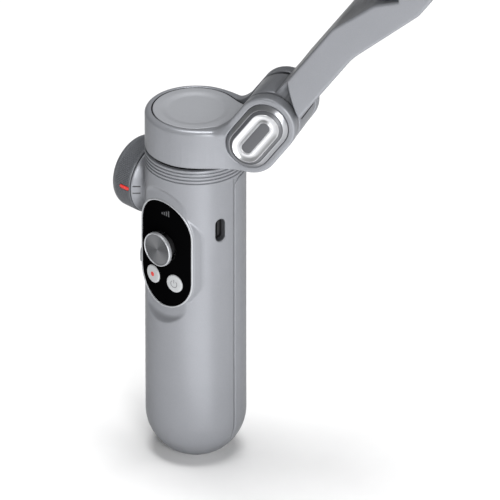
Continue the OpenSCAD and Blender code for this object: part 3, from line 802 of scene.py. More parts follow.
LH = PHH - PHW
rings = [(3.0, -1.6), (8, -1.6), (PHW - 0.06, -1.6), (PHW - 0.06, -0.32), (PHW - 0.12, -0.18), (PHW - 0.24, -0.10), (PHW - 0.45, -0.08)]
rings += [(r, -0.08) for r in np.linspace(PHW - 1.4, 0.9, 12)]
panel = slot_solid("control_panel_face", LH, rings, on_crown)


def y_tool(r, x, z, ang=0.0, y0=-30, y1=-8, n=72):
    """A round cutter along the front, turned about the crown's axis."""
    def to(v):
        w = np.stack([v[:, 0] + x, v[:, 2], v[:, 1] + z], -1)
        return rot_z(w - [0, CY, 0], ang) + [0, CY, 0]
    return lathe("tool", [(0, y0), (r, y0), (r, y1), (0, y1)], n, to, None)


cut(panel, y_tool(6.6, 0, SZ))
for s in (-1, 1):
    cut(panel, y_tool(3.86, 0, KZ, s * KA))
sharpen(panel, 30)
put(panel, "black_gloss", "handle", "control_panel", slot="panel_black")

# the raised rim round the panel is shell grey painted lighter: a painted highlight along the panel's edge
rim = sweep_slot("panel_rim", LH, [(PHW - 0.03, -0.9), (PHW - 0.03, -0.02), (PHW + 0.02, 0.10), (PHW + 0.14, 0.17), (PHW + 0.34, 0.19), (PHW + 0.52, 0.14), (PHW + 0.64, 0.02), (PHW + 0.66, -0.2), (PHW + 0.66, -0.9)], on_crown, closed=True, angle=45)
put(rim, "rim", "handle", slot="shell_grey")

# generic level bars where the display shines through
def crown_box(name, b0, b1, a0, a1, h0, h1, n=6):
    t = np.linspace(0, 1, n)
    vs, fs = [], []
    for h in (h0, h1):
        for u in t:
            for v in (a0, a1):
                vs.append((v, b0 + (b1 - b0) * u, h))
    vs = np.array(vs)
    k = 2 * n
    for i in range(n - 1):
        fs += [(2 * i, 2 * i + 1, 2 * i + 3, 2 * i + 2), (k + 2 * i, k + 2 * i + 2, k + 2 * i + 3, k + 2 * i + 1)]
        fs += [(2 * i, 2 * i + 2, k + 2 * i + 2, k + 2 * i), (2 * i + 1, k + 2 * i + 1, k + 2 * i + 3, 2 * i + 3)]
    fs += [(0, k, k + 1, 1), (k - 2, k - 1, 2 * k - 1, 2 * k - 2)]
    ob = make(name, on_crown(vs[:, 0], vs[:, 1], vs[:, 2]), fs, smooth=False)
    fix_normals(ob)
    return ob


for i in range(4):
    b0 = -0.9 + 1.15 * i
    put(crown_box("display_bar_%d" % (i + 1), b0, b0 + 0.62, 17.3, 17.3 + 0.9 + 0.55 * i, -0.3, -0.055), "glow", "handle", slot="dark_grey")

# ------------------------------------------------------------------ thumb stick
def stick_to(v):
    return np.stack([v[:, 0], -20.3 - v[:, 2], SZ + v[:, 1]], -1)


cap = [(0, 0), (6.6, 0), (6.85, 0.03), (7.02, 0.14), (7.1, 0.32), (7.1, 1.2), (7.06, 1.42), (6.98, 1.57), (6.86, 1.67), (6.74, 1.70), (6.62, 1.67), (6.54, 1.58), (6.50, 1.44), (6.50, 1.2), (6.50, 0.9), (0, 0.9)]
put(lathe("stick_cap", cap, 128, stick_to, 50), "silver", "stick", "joystick_cap", slot="stick_metal")
face = [(0, 0.8), (6.49, 0.8), (6.49, 1.30), (6.38, 1.36), (6.1, 1.38), (4, 1.33), (2, 1.30), (0.0, 1.29)]
put(lathe("stick_face", face, 128, stick_to, 50), "stick_top", "stick", slot="stick_metal")


put(lathe("stick_well", [(6.04, 15.6), (6.63, 15.6), (6.63, 17.4), (6.55, 17.5), (6.14, 17.5), (6.04, 17.4), (6.04, 15.6)], 96, lambda v: np.stack([v[:, 0], -v[:, 2], SZ + v[:, 1]], -1), 40), "motor_black", "handle", slot="black_plastic")


# ------------------------------------------------------------------ round keys
def key_to(s):
    def to(v):
        w = np.stack([v[:, 0], -18.2 - v[:, 2], KZ + v[:, 1]], -1)
        return rot_z(w - [0, CY, 0], s * KA) + [0, CY, 0]
    return to


def dome(r):
    return 0.50 - 0.0075 * r * r


key = [(0, -2.3), (3.75, -2.3), (3.75, 0.06), (3.71, 0.18), (3.62, 0.28), (3.46, 0.36)] + [(r, dome(r)) for r in (3.2, 2.6, 2.0, 1.4, 0.8, 0.4)] + [(0, dome(0))]
put(lathe("record_key", key, 96, key_to(-1), 40), "key", "record_key", "record_button", slot="key_grey")
put(lathe("power_key", key, 96, key_to(1), 40), "key", "power_key", "power_button", slot="key_grey")
put(lathe("record_dot", [(0, 0.2), (1.0, 0.2), (1.0, 0.505), (0.95, 0.53), (0.8, 0.54), (0.4, 0.545), (0, 0.55)], 48, key_to(-1), 40), "red", "record_key", slot="index_red")


def arc_strip(name, r0, r1, a0, a1, h0, to, n=40):
    vs, fs = [], []
    for i in range(n + 1):
        t = math.radians(a0 + (a1 - a0) * i / n)
        for r, h in ((r0, h0), (r0, dome(r0) + 0.03), (r1, dome(r1) + 0.03), (r1, h0)):
            vs.append((r * math.cos(t), r * math.sin(t), h))
    fs = grid_faces(n + 1, 4, wrap_v=True) + [(0, 1, 2, 3), tuple(4 * n + k for k in (3, 2, 1, 0))]
    ob = make(name, to(np.array(vs)), fs, smooth=False)
    fix_normals(ob)
    return ob


put(arc_strip("power_mark_ring", 1.32, 1.66, 90 + 38, 90 + 322, 0.3, key_to(1)), "mark", "power_key", slot="dark_grey")
bar = np.array([(x, y, h) for x in (-0.17, 0.17) for y in (0.25, 1.85) for h in (0.3, 0.53)])
o = make("power_mark_bar", key_to(1)(bar), [(0, 1, 3, 2), (4, 6, 7, 5), (0, 4, 5, 1), (2, 3, 7, 6), (0, 2, 6, 4), (1, 5, 7, 3)], smooth=False)
fix_normals(o)
put(o, "mark", "power_key", slot="dark_grey")


# ------------------------------------------------------------------ side key and port
def out_at(ang, zc):
    """Slot along z at an angle from the front: a up, b across, h out from the axis."""
    def place(a, b, h):
        return rot_z(np.stack([b, -h, a + zc], -1), ang)
    return place


sk = slot_solid("side_key_cap", 1.2, [(0.6, 17.0), (2.6, 17.0), (2.6, 17.6), (2.0, 17.6), (2.0, 21.45), (1.96, 21.72), (1.84, 21.93), (1.62, 22.06), (1.3, 22.1), (0.5, 22.12)], out_at(-SIDE_A, SIDE_Z))
put(sk, "shell", "side_button", "side_key", slot="shell_grey")

pl = out_at(USB_A, USB_Z)
put(sweep_slot("port_sleeve", 2.75, [(2.24, 16.2), (2.24, 19.55), (2.19, 19.72), (2.05, 19.6), (1.98, 19.3), (1.92, 16.2)], pl, closed=True, angle=40), "sleeve", "handle", "usb_port", slot="dark_grey")
put(slot_solid("port_floor", 2.75, [(0.4, 15.2), (2.22, 15.2), (2.22, 16.3), (0.4, 16.3)], pl), "black", "handle", slot="black_plastic")
put(sweep_slot("port_mouth", 2.75, [(1.92, 16.2), (1.92, 17.5), (1.86, 17.6), (1.66, 17.6), (1.6, 17.5), (1.6, 16.2)], pl, closed=True, angle=40), "black", "handle", slot="black_plastic")
put(slot_solid("port_tongue", 2.9, [(0.05, 16.2), (0.36, 16.2), (0.36, 17.7), (0.28, 17.85), (0.05, 17.88)], pl, n=8), "black", "handle", slot="black_plastic")


# ------------------------------------------------------------------ focus wheel
def wheel_to(v):
    return np.stack([-v[:, 2], v[:, 1], WZ + v[:, 0]], -1)


TEETH = 132
wp = [(0, 22.15), (14.2, 22.15), (14.55, 22.22), (14.72, 22.4)]
t0 = len(wp)
wp += [(14.9, 22.6), (14.98, 22.9)] + [(14.98, h) for h in np.linspace(23.5, 27.4, 7)] + [(14.98, 27.46)] + [(14.98, h) for h in (28.2, 29.0, 29.7)]
t1 = len(wp)
wp += [(14.95, 30.1)] + [(12.6 + 2.35 * math.cos(t), 30.1 + 2.35 * math.sin(t)) for t in np.linspace(0.25, math.pi / 2, 8)]
wp += [(11.4, 32.46), (10.85, 32.4), (10.62, 32.2), (10.62, 31.4), (0, 31.4)]


def teeth(k, t):
    if k < t0 or k >= t1:
        return 0
    # the red mark's recess, then the fine ribs
    if abs(t - 1.5 * math.pi) * 15 < 0.98 and wp[k][1] < 27.45:
        return -0.34
    d = abs((t / (2 * math.pi) * TEETH) % 1 - 0.5) * 2
    return -0.20 * max(0.0, min(1.0, (d - 0.35) / 0.4))


put(lathe("wheel_rim", wp, TEETH * 6, wheel_to, 28, wave=teeth), "graphite", "wheel", "focus_wheel", slot="wheel_dark")
cp = [(0, 31.3), (10.4, 31.3), (10.4, 31.85), (10.3, 32.05), (10.1, 32.13), (8.9, 32.13), (8.75, 32.0), (8.45, 32.0), (8.3, 32.13), (6, 32.1), (3, 31.95), (0, 31.9)]
put(lathe("wheel_disc", cp, 128, wheel_to, 30), "chrome_dark", "wheel", "wheel_cap", slot="dark_grey")


def index_place(a, b, h):
    # a along the wheel's axis, b round it, h out from it, at the front
    t = b / 15.0
    return np.stack([-(24.85 + a), -h * np.cos(t), WZ + h * np.sin(t)], -1)


put(slot_solid("wheel_index_mark", 1.66, [(0.1, 14.3), (0.74, 14.3), (0.74, 14.98), (0.68, 15.06), (0.5, 15.09), (0.1, 15.09)], index_place, n=16), "red", "wheel", "wheel_index", slot="index_red")

# a flared foot: neck, cone, thin edge beside the gap
bp = [(2.1, 12), (11.1, 12), (11.35, 12.3), (11.35, 17.7), (11.42, 18.05), (11.62, 18.4), (14.3, 21.03), (14.5, 21.26), (14.55, 21.42), (14.52, 21.6), (14.4, 21.7), (14.1, 21.73), (2.2, 21.73), (2.1, 21.6), (2.1, 12)]
put(lathe("wheel_foot", bp, 160, wheel_to, 30), "shell", "handle", "wheel_base", slot="shell_grey")
for i, dz in enumerate((-1.5, 1.5)):
    tt = np.array([(h, z, 11.62 + (h - 18.4) * 1.019 + e) for h in (18.75, 20.95) for z in (dz - 0.24, dz + 0.24) for e in (-0.3, 0.03)])
    v = np.stack([-tt[:, 0], -np.sqrt(tt[:, 2] ** 2 - tt[:, 1] ** 2), WZ + tt[:, 1]], -1)
    o = make("wheel_tick_%d" % (i + 1), v, [(0, 1, 3, 2), (4, 6, 7, 5), (0, 4, 5, 1), (2, 3, 7, 6), (0, 2, 6, 4), (1, 5, 7, 3)], smooth=False)
    fix_normals(o)
    put(o, "tick", "handle", slot="dark_grey")


# ------------------------------------------------------------------ pan unit
HX, HZ = H
T2 = LEAN + math.radians(95)
U1 = np.array([math.cos(T2), math.sin(T2)])
P1 = np.array([-math.sin(T2), math.cos(T2)])
FOLD = [H - 8.4 * P0, H - 8.4 * P0 + 70 * U0, H + 90 * np.array([math.cos(LEAN + math.radians(47)), math.sin(LEAN + math.radians(47))]), H + 6.2 * P1 + 70 * U1, H + 6.2 * P1]
PZ0, PZ1 = 135.35, 151.6


def plan_cover(x, y, g):
    """Outline of the top plate: the round motor cover with a strip that runs out to the hinge."""
    return smin(np.hypot(x, y) - (17.4 - g), np.maximum(np.abs(y) - (9.6 - g), -x), 5.0)


def fold_space(x, y, z, g=0.0):
    """What the arm's tongue sweeps."""
    f = np.minimum(d_poly(x, z, FOLD), np.hypot(x - HX, z - HZ) - 12.1)
    return np.maximum(f - g, np.abs(y) - 9 - g)


def housing(x, y, z):
    plan = smin(np.hypot(x, y) - R, d_rect(x, y, 0, 27.5, -14.7, 14.7), 8.0)
    body = rmax(rmax(plan, z - PZ1, 2.0), PZ0 - z, 0.5)
    ear = rmax(d_seg(x, z, C1, H) - 12, np.abs(y) - 14.7, 0.85)
    # a wide fillet where the top runs up into the ears, none lower down
    f = rmin(body, ear, 0.02 + 4.5 * np.clip((z - 147) / 4, 0, 1))
    f = rmax(f, -fold_space(x, y, z), 0.5)
    # recess of the top plate
    f = rmax(f, -np.maximum(plan_cover(x, y, 0), 149.9 - z), 0.3)
    # seats of the two hinge covers
    st = np.hypot(np.maximum(np.abs((x - BC[0]) * U0[0] + (z - BC[1]) * U0[1]) - 6.2, 0), (x - BC[0]) * P0[0] + (z - BC[1]) * P0[1]) - 9.4
    f = rmax(f, -np.maximum(st, 12.2 - np.abs(y)), 0.3)
    # motor space and pin hole
    f = np.maximum(f, -np.maximum(np.hypot(x, y) - 17.5, z - 149))
    f = np.maximum(f, -np.maximum(np.hypot(x - HX, z - HZ) - 2.6, np.abs(y) - 12.3))
    return np.maximum(f, -np.maximum(np.hypot(x, y) - 2.5, z - 160))


pan_h = field_mesh("pan_housing_shell", housing, (-20.9, -20.9, 134.6), (47.6, 20.9, 170.4), 0.36, pan_world)
put(pan_h, "shell", "pan", "pan_housing", slot="shell_grey")


def cover_plate(x, y, z):
    plan = np.maximum(plan_cover(x, y, 0.52), x - 40)
    r = np.hypot(x, y)
    # level rim, a shallow slope, then the dished middle
    top = 151.55 - 0.75 * (lambda t: t * t * (3 - 2 * t))(np.clip((14.2 - r) / 3.4, 0, 1))
    f = rmax(plan, (z - top) * 0.97, 0.3)
    f = np.maximum(f, 150.42 - z)
    return rmax(f, -fold_space(x, y, z, 0.35), 0.3)


pan_c = field_mesh("pan_top_plate", cover_plate, (-17.6, -17.6, 149.8), (34, 17.6, 152.2), 0.3, pan_world)
put(pan_c, "cover", "pan", "pan_cover", slot="shell_grey")


def plate_gap_shade(x, y, z):
    # a black band in the gap round the top plate: painted shade that keeps the gap line dark
    f = np.maximum(plan_cover(x, y, -0.6), np.minimum(-plan_cover(x, y, 0.16), z - 150.25))
    f = np.maximum(np.maximum(f, z - 151.28), 149.5 - z)
    return np.maximum(f, -fold_space(x, y, z, 0.45))


gk = field_mesh("pan_plate_gap_shade", plate_gap_shade, (-18.6, -18.6, 149.0), (34, 18.6, 152.0), 0.3, pan_world)
put(gk, "black", "pan", slot="black_plastic")


# ------------------------------------------------------------------ hinge badge
def badge_place(a, b, h):
    xz = BC + np.outer(a, U0) + np.outer(b, P0)
    return pan_world(np.stack([xz[:, 0], -h, xz[:, 1]], -1))


ring = [(9.27, 12.3), (9.27, 14.62), (9.2, 14.8), (9.05, 14.94), (8.3, 15.5), (7.86, 15.84), (7.7, 15.95), (7.6, 15.98), (7.5, 15.95), (7.46, 15.86), (7.46, 12.3)]
put(sweep_slot("badge_outer_ring", 6.2, ring, badge_place, closed=True, angle=24), "chrome", "pan", "badge_ring", slot="chrome")
put(sweep_slot("badge_band", 6.2, [(7.45, 12.3), (7.45, 15.78), (7.38, 15.86), (6.24, 16.7), (6.16, 16.72), (6.1, 16.66), (6.1, 12.3)], badge_place, closed=True, angle=40), "insert", "pan", slot="dark_grey")
dish = [(6.09, 12.3), (6.09, 16.78), (6.05, 16.9), (5.95, 16.95), (5.84, 16.91)]
dish += [(r, 16.05 + 0.82 * ((r - 3.9) / 1.86) ** 2) for r in np.linspace(5.7, 3.9, 10)] + [(3.5, 16.08), (3.2, 16.18), (3.02, 16.32)]
dish += [(2.92, 16.5), (2.84, 16.6), (2.74, 16.62), (2.66, 16.54), (2.6, 16.42), (2.53, 16.54), (2.45, 16.64), (2.35, 16.66), (2.26, 16.6), (2.22, 16.46), (2.22, 12.3)]
put(sweep_slot("badge_dish_ring", 6.2, dish, badge_place, closed=True, angle=50), "chrome_dish", "pan", "badge_dish", slot="chrome")
put(slot_solid("badge_centre", 6.2, [(0.3, 12.3), (2.2, 12.3), (2.2, 16.46), (2.13, 16.56), (2.0, 16.6), (1.0, 16.61), (0.3, 16.61)], badge_place, n=28), "insert", "pan", "badge_insert", slot="dark_grey")


def far_place(a, b, h):
    xz = BC + np.outer(a, U0) + np.outer(b, P0)
    return pan_world(np.stack([xz[:, 0], h, xz[:, 1]], -1))


put(slot_solid("hinge_far_plate", 6.2, [(0.5, 12.2), (9.2, 12.2), (9.2, 14.35), (9.12, 14.52), (8.95, 14.6), (7.6, 14.62), (7.4, 14.5), (7.2, 14.5), (7.0, 14.62), (0.5, 14.66)], far_place, n=28), "shell", "pan", "hinge_far_cap", slot="shell_grey")


# ------------------------------------------------------------------ arm
def round_poly(pts, rs, n=8):
    out = []
    k = len(pts)
    for i in range(k):
        p, r = np.asarray(pts[i], float), rs[i]
        if r <= 0:
            out.append(p); continue
        a = np.asarray(pts[i - 1], float) - p; b = np.asarray(pts[(i + 1) % k], float) - p
        la, lb = np.linalg.norm(a), np.linalg.norm(b)
        a /= la; b /= lb
        th = math.acos(np.clip(a @ b, -1, 1))
        t = min(r / math.tan(th / 2), 0.48 * la, 0.48 * lb)
        rr = t * math.tan(th / 2)
        m = (a + b) / np.linalg.norm(a + b)
        c = p + m * (rr / math.sin(th / 2))
        s, e = p + a * t - c, p + b * t - c
        a0 = math.atan2(s[1], s[0]); a1 = math.atan2(e[1], e[0])
        d = (a1 - a0 + math.pi) % (2 * math.pi) - math.pi
        out += [c + rr * np.array([math.cos(a0 + d * j / n), math.sin(a0 + d * j / n)]) for j in range(n + 1)]
    return out


ARM = round_poly([up(6, 5.6), up(55, 5.6), (79, 218.6), (89, 222), (89, 241), (104, 241), (104, 226), (97.5, 217), up(50, -8), up(2, -8)],
                 [0, 14, 10, 0, 0, 0, 8, 10, 30, 0])


def arm_field(x, y, z):
    u = (x - HX) * U0[0] + (z - HZ) * U0[1]
    p = (x - HX) * P0[0] + (z - HZ) * P0[1]
    rad = np.hypot(u, p)
    ya = np.abs(y)
    out = d_poly(x, z, ARM)
    start = (17.72 + 0.828 * p + 0.0203 * p * p - 0.55 * (14.7 - ya) - u) * 0.74
    slab = rmax(out, ya - 14.7, 1.1)
    slab = rmax(slab, start, 0.35)
    slab = np.maximum(slab, 12.5 - rad)
    tongue = np.minimum(d_rect(u, p, 0, 24, -8, 5.6), rad - 11.9)
    tongue = rmax(tongue, ya - 8.2, 0.6)
    f = np.minimum(slab, tongue)
    cup = rmax(np.hypot(y, z - ROLL_Z) - 16, np.abs(x - 96.5) - 7.5, 1.3)
    f = rmin(f, cup, 1.5)
    f = np.maximum(f, -np.maximum(np.hypot(y, z - ROLL_Z) - 14.2, x - 102))
    f = np.maximum(f, -np.maximum(rad - 2.6, ya - 30))
    tray = np.minimum(np.maximum(np.abs(u - 36) - 14, np.abs(p + 3.75) - 5.25), np.maximum(np.abs(u - 33) - 17, np.abs(p + 7.7) - 1.3))
    tray = np.maximum(tray, ya - 11.5)
    return rmax(f, -tray, 0.3)


arm = field_mesh("arm_body", arm_field, (24, -16.6, 146), (105.5, 16.6, 258.4), 0.5, pan_world)
put(arm, "shell", "arm", "arm_shell", slot="shell_grey")


def barrel_place(a, b, h):
    # across the hinge barrel: a along the pin, b round the barrel, h out from the pin
    t = math.radians(6) + b / 11.9
    return pan_world(np.stack([HX + h * np.cos(t), a + 0.4, HZ + h * np.sin(t)], -1))


# a thin black strip on the hinge barrel: painted shade standing for the shadowed gap of the slot
put(slot_solid("hinge_slot_shade", 6.6, [(0.05, 11.2), (0.30, 11.2), (0.30, 11.9), (0.27, 11.935), (0.05, 11.94)], barrel_place, n=8), "motor_black", "arm", slot="black_plastic")


def tray_place(a, b, h):
    # lid of the cable tray: a along the arm, b across it, h out of the outer face
    u = 33 + a
    xz = H + np.outer(u, U0) + np.outer(-h, P0)
    return pan_world(np.stack([xz[:, 0], b, xz[:, 1]], -1))


def rect_solid(name, hx, hy, rc, rings, place, n=8):
    """A closed solid from rounded rectangles: rings are (inset, height)."""
    base = []
    for sx, sy, a0 in ((1, 1, 0), (-1, 1, 90), (-1, -1, 180), (1, -1, 270)):
        for i in range(n + 1):
            t = math.radians(a0 + 90 * i / n)
            base.append((sx * (hx - rc), sy * (hy - rc), math.cos(t), math.sin(t)))
    base = np.array(base)
    k, m = len(base), len(rings)
    vs = []
    for cx, cy, dx, dy in base:
        for ins, h in rings:
            r = max(rc - ins, 0.05); e = max(ins - rc + 0.05, 0)
            vs.append((cx - math.copysign(e, cx) + r * dx, cy - math.copysign(e, cy) + r * dy, h))
    v = np.array(vs)
    fs = grid_faces(k, m, wrap_u=True) + [tuple(i * m for i in range(k)), tuple(i * m + m - 1 for i in reversed(range(k)))]
    ob = make(name, place(v[:, 0], v[:, 1], v[:, 2]), fs)
    fix_normals(ob)
    sharpen(ob, 30)
    return ob


lid = rect_solid("arm_lid", 16.9, 11.4, 2.0, [(0, 6.4), (0, 7.6), (0.08, 7.82), (0.3, 7.95), (1.4, 7.97), (1.55, 7.82), (1.85, 7.82), (2.0, 7.97), (5, 7.98)], tray_place)
put(lid, "cover", "arm", "arm_cover", slot="shell_grey")


def screw_heads(name, centres, place_at, mat, body, *nodes, r=1.5):
    """Recessed hex-socket heads."""
    vs, fs = [], []
    for c in centres:
        prof = [(0, 0), (r, 0), (r, 0.28), (r - 0.12, 0.4), (0.85, 0.42)]
        off = len(vs)
        n = 24
        loop = []
        for rr, h in prof[1:]:
            loop.append([len(vs) + i for i in range(n)])
            vs += [(*c, rr * math.cos(2 * math.pi * i / n), rr * math.sin(2 * math.pi * i / n), h) for i in range(n)]
        for h in (0.42, -0.5):
            loop.append([len(vs) + i for i in range(n)])
            for i in range(n):
                t = 2 * math.pi * i / n
                k = 0.72 / math.cos((t % (math.pi / 3)) - math.pi / 6)
                vs.append((*c, k * math.cos(t), k * math.sin(t), h))
        for a, b in zip(loop[:-1], loop[1:]):
            fs += [(a[i], a[(i + 1) % n], b[(i + 1) % n], b[i]) for i in range(n)]
        fs.append(tuple(loop[-1])); fs.append(tuple(reversed(loop[0])))
    v = np.array(vs)
    ob = make(name, place_at(v), fs)
    fix_normals(ob)
    sharpen(ob, 30)
    return put(ob, mat, body, *nodes)


def lid_screw(v):
    # columns: u of the centre, y of the centre, two in the head's plane, height
    u = v[:, 0] + v[:, 2]
    h = 7.6 + v[:, 4]
    xz = H + np.outer(u, U0) + np.outer(-h, P0)
    return pan_world(np.stack([xz[:, 0], v[:, 1] + v[:, 3], xz[:, 1]], -1))


screw_heads("arm_lid_screw_heads", [(20, -8), (20, 8), (46, -8), (46, 8)], lid_screw, "chrome_dark", "arm")


# ------------------------------------------------------------------ roll and tilt units
def roll_to(v):
    return pan_world(np.stack([RX + v[:, 2], v[:, 1], ROLL_Z + v[:, 0]], -1))


rr = [(2, -9.4), (13.2, -9.4)] + arc2(14.5, -7.9, 1.5, -90, 0, 8) + [(16, -3.2), (15.75, -3.05), (15.75, -2.65), (16, -2.5), (16, -0.55), (15.9, -0.42), (13.7, -0.4), (13.7, 10.3), (12.95, 10.3), (12.95, 0.5), (2, 0.5), (2, -9.4)]
put(lathe("roll_rotor_shell", rr, 160, roll_to, 30), "shell", "roll", "roll_rotor", slot="shell_grey")


def tilt_to(v):
    return pan_world(np.stack([TILT_X + v[:, 0], v[:, 1], ROLL_Z + v[:, 2]], -1))


tr = [(1.6, 9.05), (12.9, 9.05), (13, 9.2), (13, 12.2), (12.75, 12.35), (12.75, 12.75), (13, 12.9)] + arc2(11.8, 16.9, 1.2, 0, 90, 8) + [(10.9, 18.1), (10.9, 28.4), (10.05, 28.4), (10.05, 18.6), (1.6, 18.6), (1.6, 9.05)]
put(lathe("tilt_rotor_shell", tr, 160, tilt_to, 30), "shell", "clamp", "tilt_rotor", slot="shell_grey")


def bracket(x, y, z):
    zz = z - ROLL_Z
    plate2 = np.maximum(np.minimum(np.hypot(y, zz) - 11, d_rect(y, zz, -11, 11, 0, 35)), zz - 35)
    leg = rmax(d_rect(x, zz, TILT_X, 79.6, 30, 35), np.abs(y) - 11, 1.0)
    f = rmax(plate2, np.abs(x - 77.1) - 2.5, 1.0)
    f = rmin(f, leg, 2.5)
    # the outer corner is rounded
    corner = np.where((x > 74.6) & (zz > 30), np.hypot(x - 74.6, zz - 30) - 5, -5)
    f = rmax(f, corner, 0.8)
    cup = rmax(np.hypot(x - TILT_X, y) - 13, np.abs(zz - 26.75) - 8.25, 1.2)
    f = rmin(f, cup, 2.0)
    f = np.maximum(f, -np.maximum(np.hypot(x - TILT_X, y) - 11.4, zz - 29))
    post = np.maximum(np.hypot(x - TILT_X, y) - 4, np.abs(zz - 24.6) - 5.4)
    post = np.maximum(post, -np.maximum(np.hypot(x - TILT_X, y) - 3, zz - 29))
    f = np.minimum(f, post)
    # shallow dish on the cup's lid
    return rmax(f, -np.maximum(np.hypot(x - TILT_X, y) - 9.5, 34.5 - zz), 0.4)


put(field_mesh("tilt_bracket_body", bracket, (38.4, -14, 229), (80.4, 14, 277), 0.5, pan_world), "shell", "roll", "tilt_bracket", slot="shell_grey")


# ------------------------------------------------------------------ phone clamp
def clamp(x, y, z):
    zz = z - (ROLL_Z - 0.25)
    bar = rmax(d_rect(x, y, 34, 46, -39, 31), np.abs(zz) - 9.25, 1.0)
    boss = rmax(np.hypot(x - TILT_X, y) - 13, np.abs(zz) - 9.25, 1.0)
    neck = rmax(d_rect(x, y, 40, TILT_X, -13, 13), np.abs(zz) - 9.25, 1.0)
    f = rmin(rmin(bar, boss, 3.0), neck, 2.0)
    for dz in (-5.6, 5.6):
        f = np.maximum(f, -np.maximum(np.hypot(x - 40, z - ROLL_Z - dz) - 2.1, -30 - y))
    f = np.maximum(f, -np.maximum(np.hypot(x - 40, z - ROLL_Z) - 3, -30 - y))
    # parting groove round the bar
    g = np.maximum(np.abs(zz) - 0.35, -(d_rect(x, y, 34, 46, -39, 31) + 0.45))
    return np.maximum(f, -np.where(x < 45.2, np.maximum(g, y - 40), 1.0))


put(field_mesh("clamp_bar", clamp, (33.4, -39.7, 231), (65.7, 31.7, 250.8), 0.5, pan_world), "dark", "clamp", "clamp_body", slot="dark_grey")


def hook_field(s):
    def f(x, y, z):
        yy = s * y
        zz = z - (ROLL_Z - 0.25)
        a = d_rect(x, yy, 19, 34, 33, 39)
        b = d_rect(x, yy, 19, 22, 28.5, 34)
        pr = rmin(a, b, 1.0)
        pr = rmax(pr, np.where((x < 23) & (yy > 35), np.hypot(x - 23, yy - 35) - 4, -4), 0.5)
        if s > 0:
            pr = rmin(pr, d_rect(x, yy, 33.9, 46, 31.4, 39), 0.8)
        g = rmax(pr, np.abs(zz) - 9.25, 1.0)
        if s > 0:
            for dz in (-5.6, 5.6):
                g = np.maximum(g, -np.maximum(np.hypot(x - 40, z - ROLL_Z - dz) - 2.0, yy - 36))
        # finger rib on the outside
        for k in (-1, 0, 1):
            g = rmax(g, -np.maximum(np.abs(yy - 39) - 0.35, np.hypot(np.maximum(np.abs(x - 28.5) - 3.2, 0), zz - 2.6 * k) - 0.55), 0.15)
        return g
    return f


put(field_mesh("fixed_hook", hook_field(-1), (18.4, -39.6, 231), (34.6, -28, 250.8), 0.45, pan_world), "shell", "clamp", "fixed_jaw", slot="shell_grey")
put(field_mesh("sliding_hook", hook_field(1), (18.4, 28, 231), (46.6, 39.6, 250.8), 0.45, pan_world), "shell", "jaw", "sliding_jaw", slot="shell_grey")


def pad_field(s, x1):
    def f(x, y, z):
        yy = s * y
        rib = 0.28 * np.cos(2 * math.pi * (z - ROLL_Z) / 1.6)
        g = rmax(d_rect(x, z, 22.1, x1, ROLL_Z - 8, ROLL_Z + 8), np.abs(yy - 32.15) - 0.95, 0.4)
        return rmax(g, (31.25 - rib * (np.abs(z - ROLL_Z) < 6.8)) - yy, 0.1)
    return f


put(field_mesh("fixed_grip_pad", pad_field(-1, 34), (21.6, -33.6, 232), (34.6, -30.4, 250), 0.3, pan_world), "rubber", "clamp", "fixed_jaw_pad", slot="rubber")
put(field_mesh("sliding_grip_pad", pad_field(1, 33.7), (21.6, 30.4, 232), (34.6, 33.6, 250), 0.3, pan_world), "rubber", "jaw", "sliding_jaw_pad", slot="rubber")


def back_field(x, y, z):
    rib = 0.2 * np.cos(2 * math.pi * y / 1.8) * (np.abs(y) < 25.6)
    g = rmax(d_rect(y, z, -27, 27, ROLL_Z - 6.8, ROLL_Z + 6.8), np.abs(x - 33.7) - 0.75, 0.4)
    return rmax(g, (33.2 - rib) - x, 0.1)


put(field_mesh("back_grip_pad", back_field, (32.4, -27.8, 233.4), (34.8, 27.8, 248.8), 0.3, pan_world), "rubber", "clamp", "back_pad", slot="rubber")


# ------------------------------------------------------------------ floor, light, camera
def plane(name, z, s):
    ob = make(name, [(-s, -s, z), (s, -s, z), (s, s, z), (-s, s, z)], [(0, 1, 2, 3)], smooth=False)
    return ob


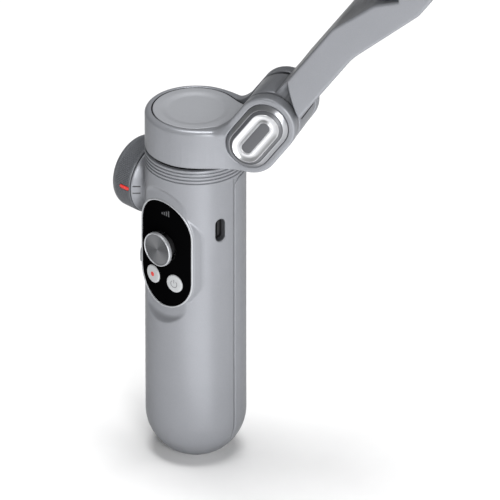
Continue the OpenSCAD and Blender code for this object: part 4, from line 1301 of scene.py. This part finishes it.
floor = plane("floor", -0.02, 30000)
mf, nt, b = nodes_of("studio_floor")
pale = ramp(nt, noise(nt, 30, 3), [(0.3, (0.90, 0.90, 0.90)), (0.7, (0.93, 0.93, 0.93))])
nt.links.new(pale, b.inputs["Base Color"])
nt.links.new(maprange(nt, noise(nt, 200, 3), 0.75, 0.85), b.inputs["Roughness"])
set_in(b, Specular_IOR_Level=0.1)
floor.data.materials.append(mf)

world = bpy.data.worlds.new("studio")
scene.world = world
world.use_nodes = True
wn = world.node_tree
bg = wn.nodes["Background"]
bg.inputs["Strength"].default_value = 0.10
bg.inputs["Color"].default_value = (1.0, 1.0, 1.0, 1)


def area(name, loc, target, size, power, col=(1, 1, 1)):
    l = bpy.data.lights.new(name, "AREA")
    l.shape = "RECTANGLE"; l.size = size[0]; l.size_y = size[1]
    l.energy = power; l.color = col
    o = bpy.data.objects.new(name, l)
    scene.collection.objects.link(o)
    d = Vector(target) - Vector(loc)
    o.location = loc
    o.rotation_euler = d.to_track_quat("-Z", "Y").to_euler()
    return o


C = (0.0, 0.0, 0.1)
area("key_right", (1.12, -0.72, 0.40), C, (0.4, 0.9), 18)
area("top", (0.02, 0.14, 2.6), (0.02, 0.14, 0.0), (1.3, 1.3), 74)
# a low card at the right front, which gives the long soft line down the grip
ca = math.radians(76)
along, across = Vector((math.sin(ca), -math.cos(ca), 0)), Vector((-math.cos(ca), -math.sin(ca), 0))
card = area("card", along * 0.33 + across * 0.07 + Vector((0, 0, 0.001)), (0, 0, 1), (0.54, 0.14), 0.31)
card.rotation_euler = (math.pi, 0, ca - math.pi / 2)

cam = bpy.data.cameras.new("photo_camera")
cam.lens = 1200; cam.sensor_width = 36; cam.sensor_fit = "HORIZONTAL"
cam.clip_start = 0.1; cam.clip_end = 100
co = bpy.data.objects.new("photo_camera", cam)
scene.collection.objects.link(co)
back = Vector((0.6126, -0.6255, 0.4833)).normalized()
target = Vector((0.0130, 0.0173, 0.0861))
co.location = target + back * 6.574
co.rotation_euler = back.to_track_quat("Z", "Y").to_euler()
scene.camera = co
scene.view_settings.view_transform = "Standard"
scene.view_settings.look = "None"
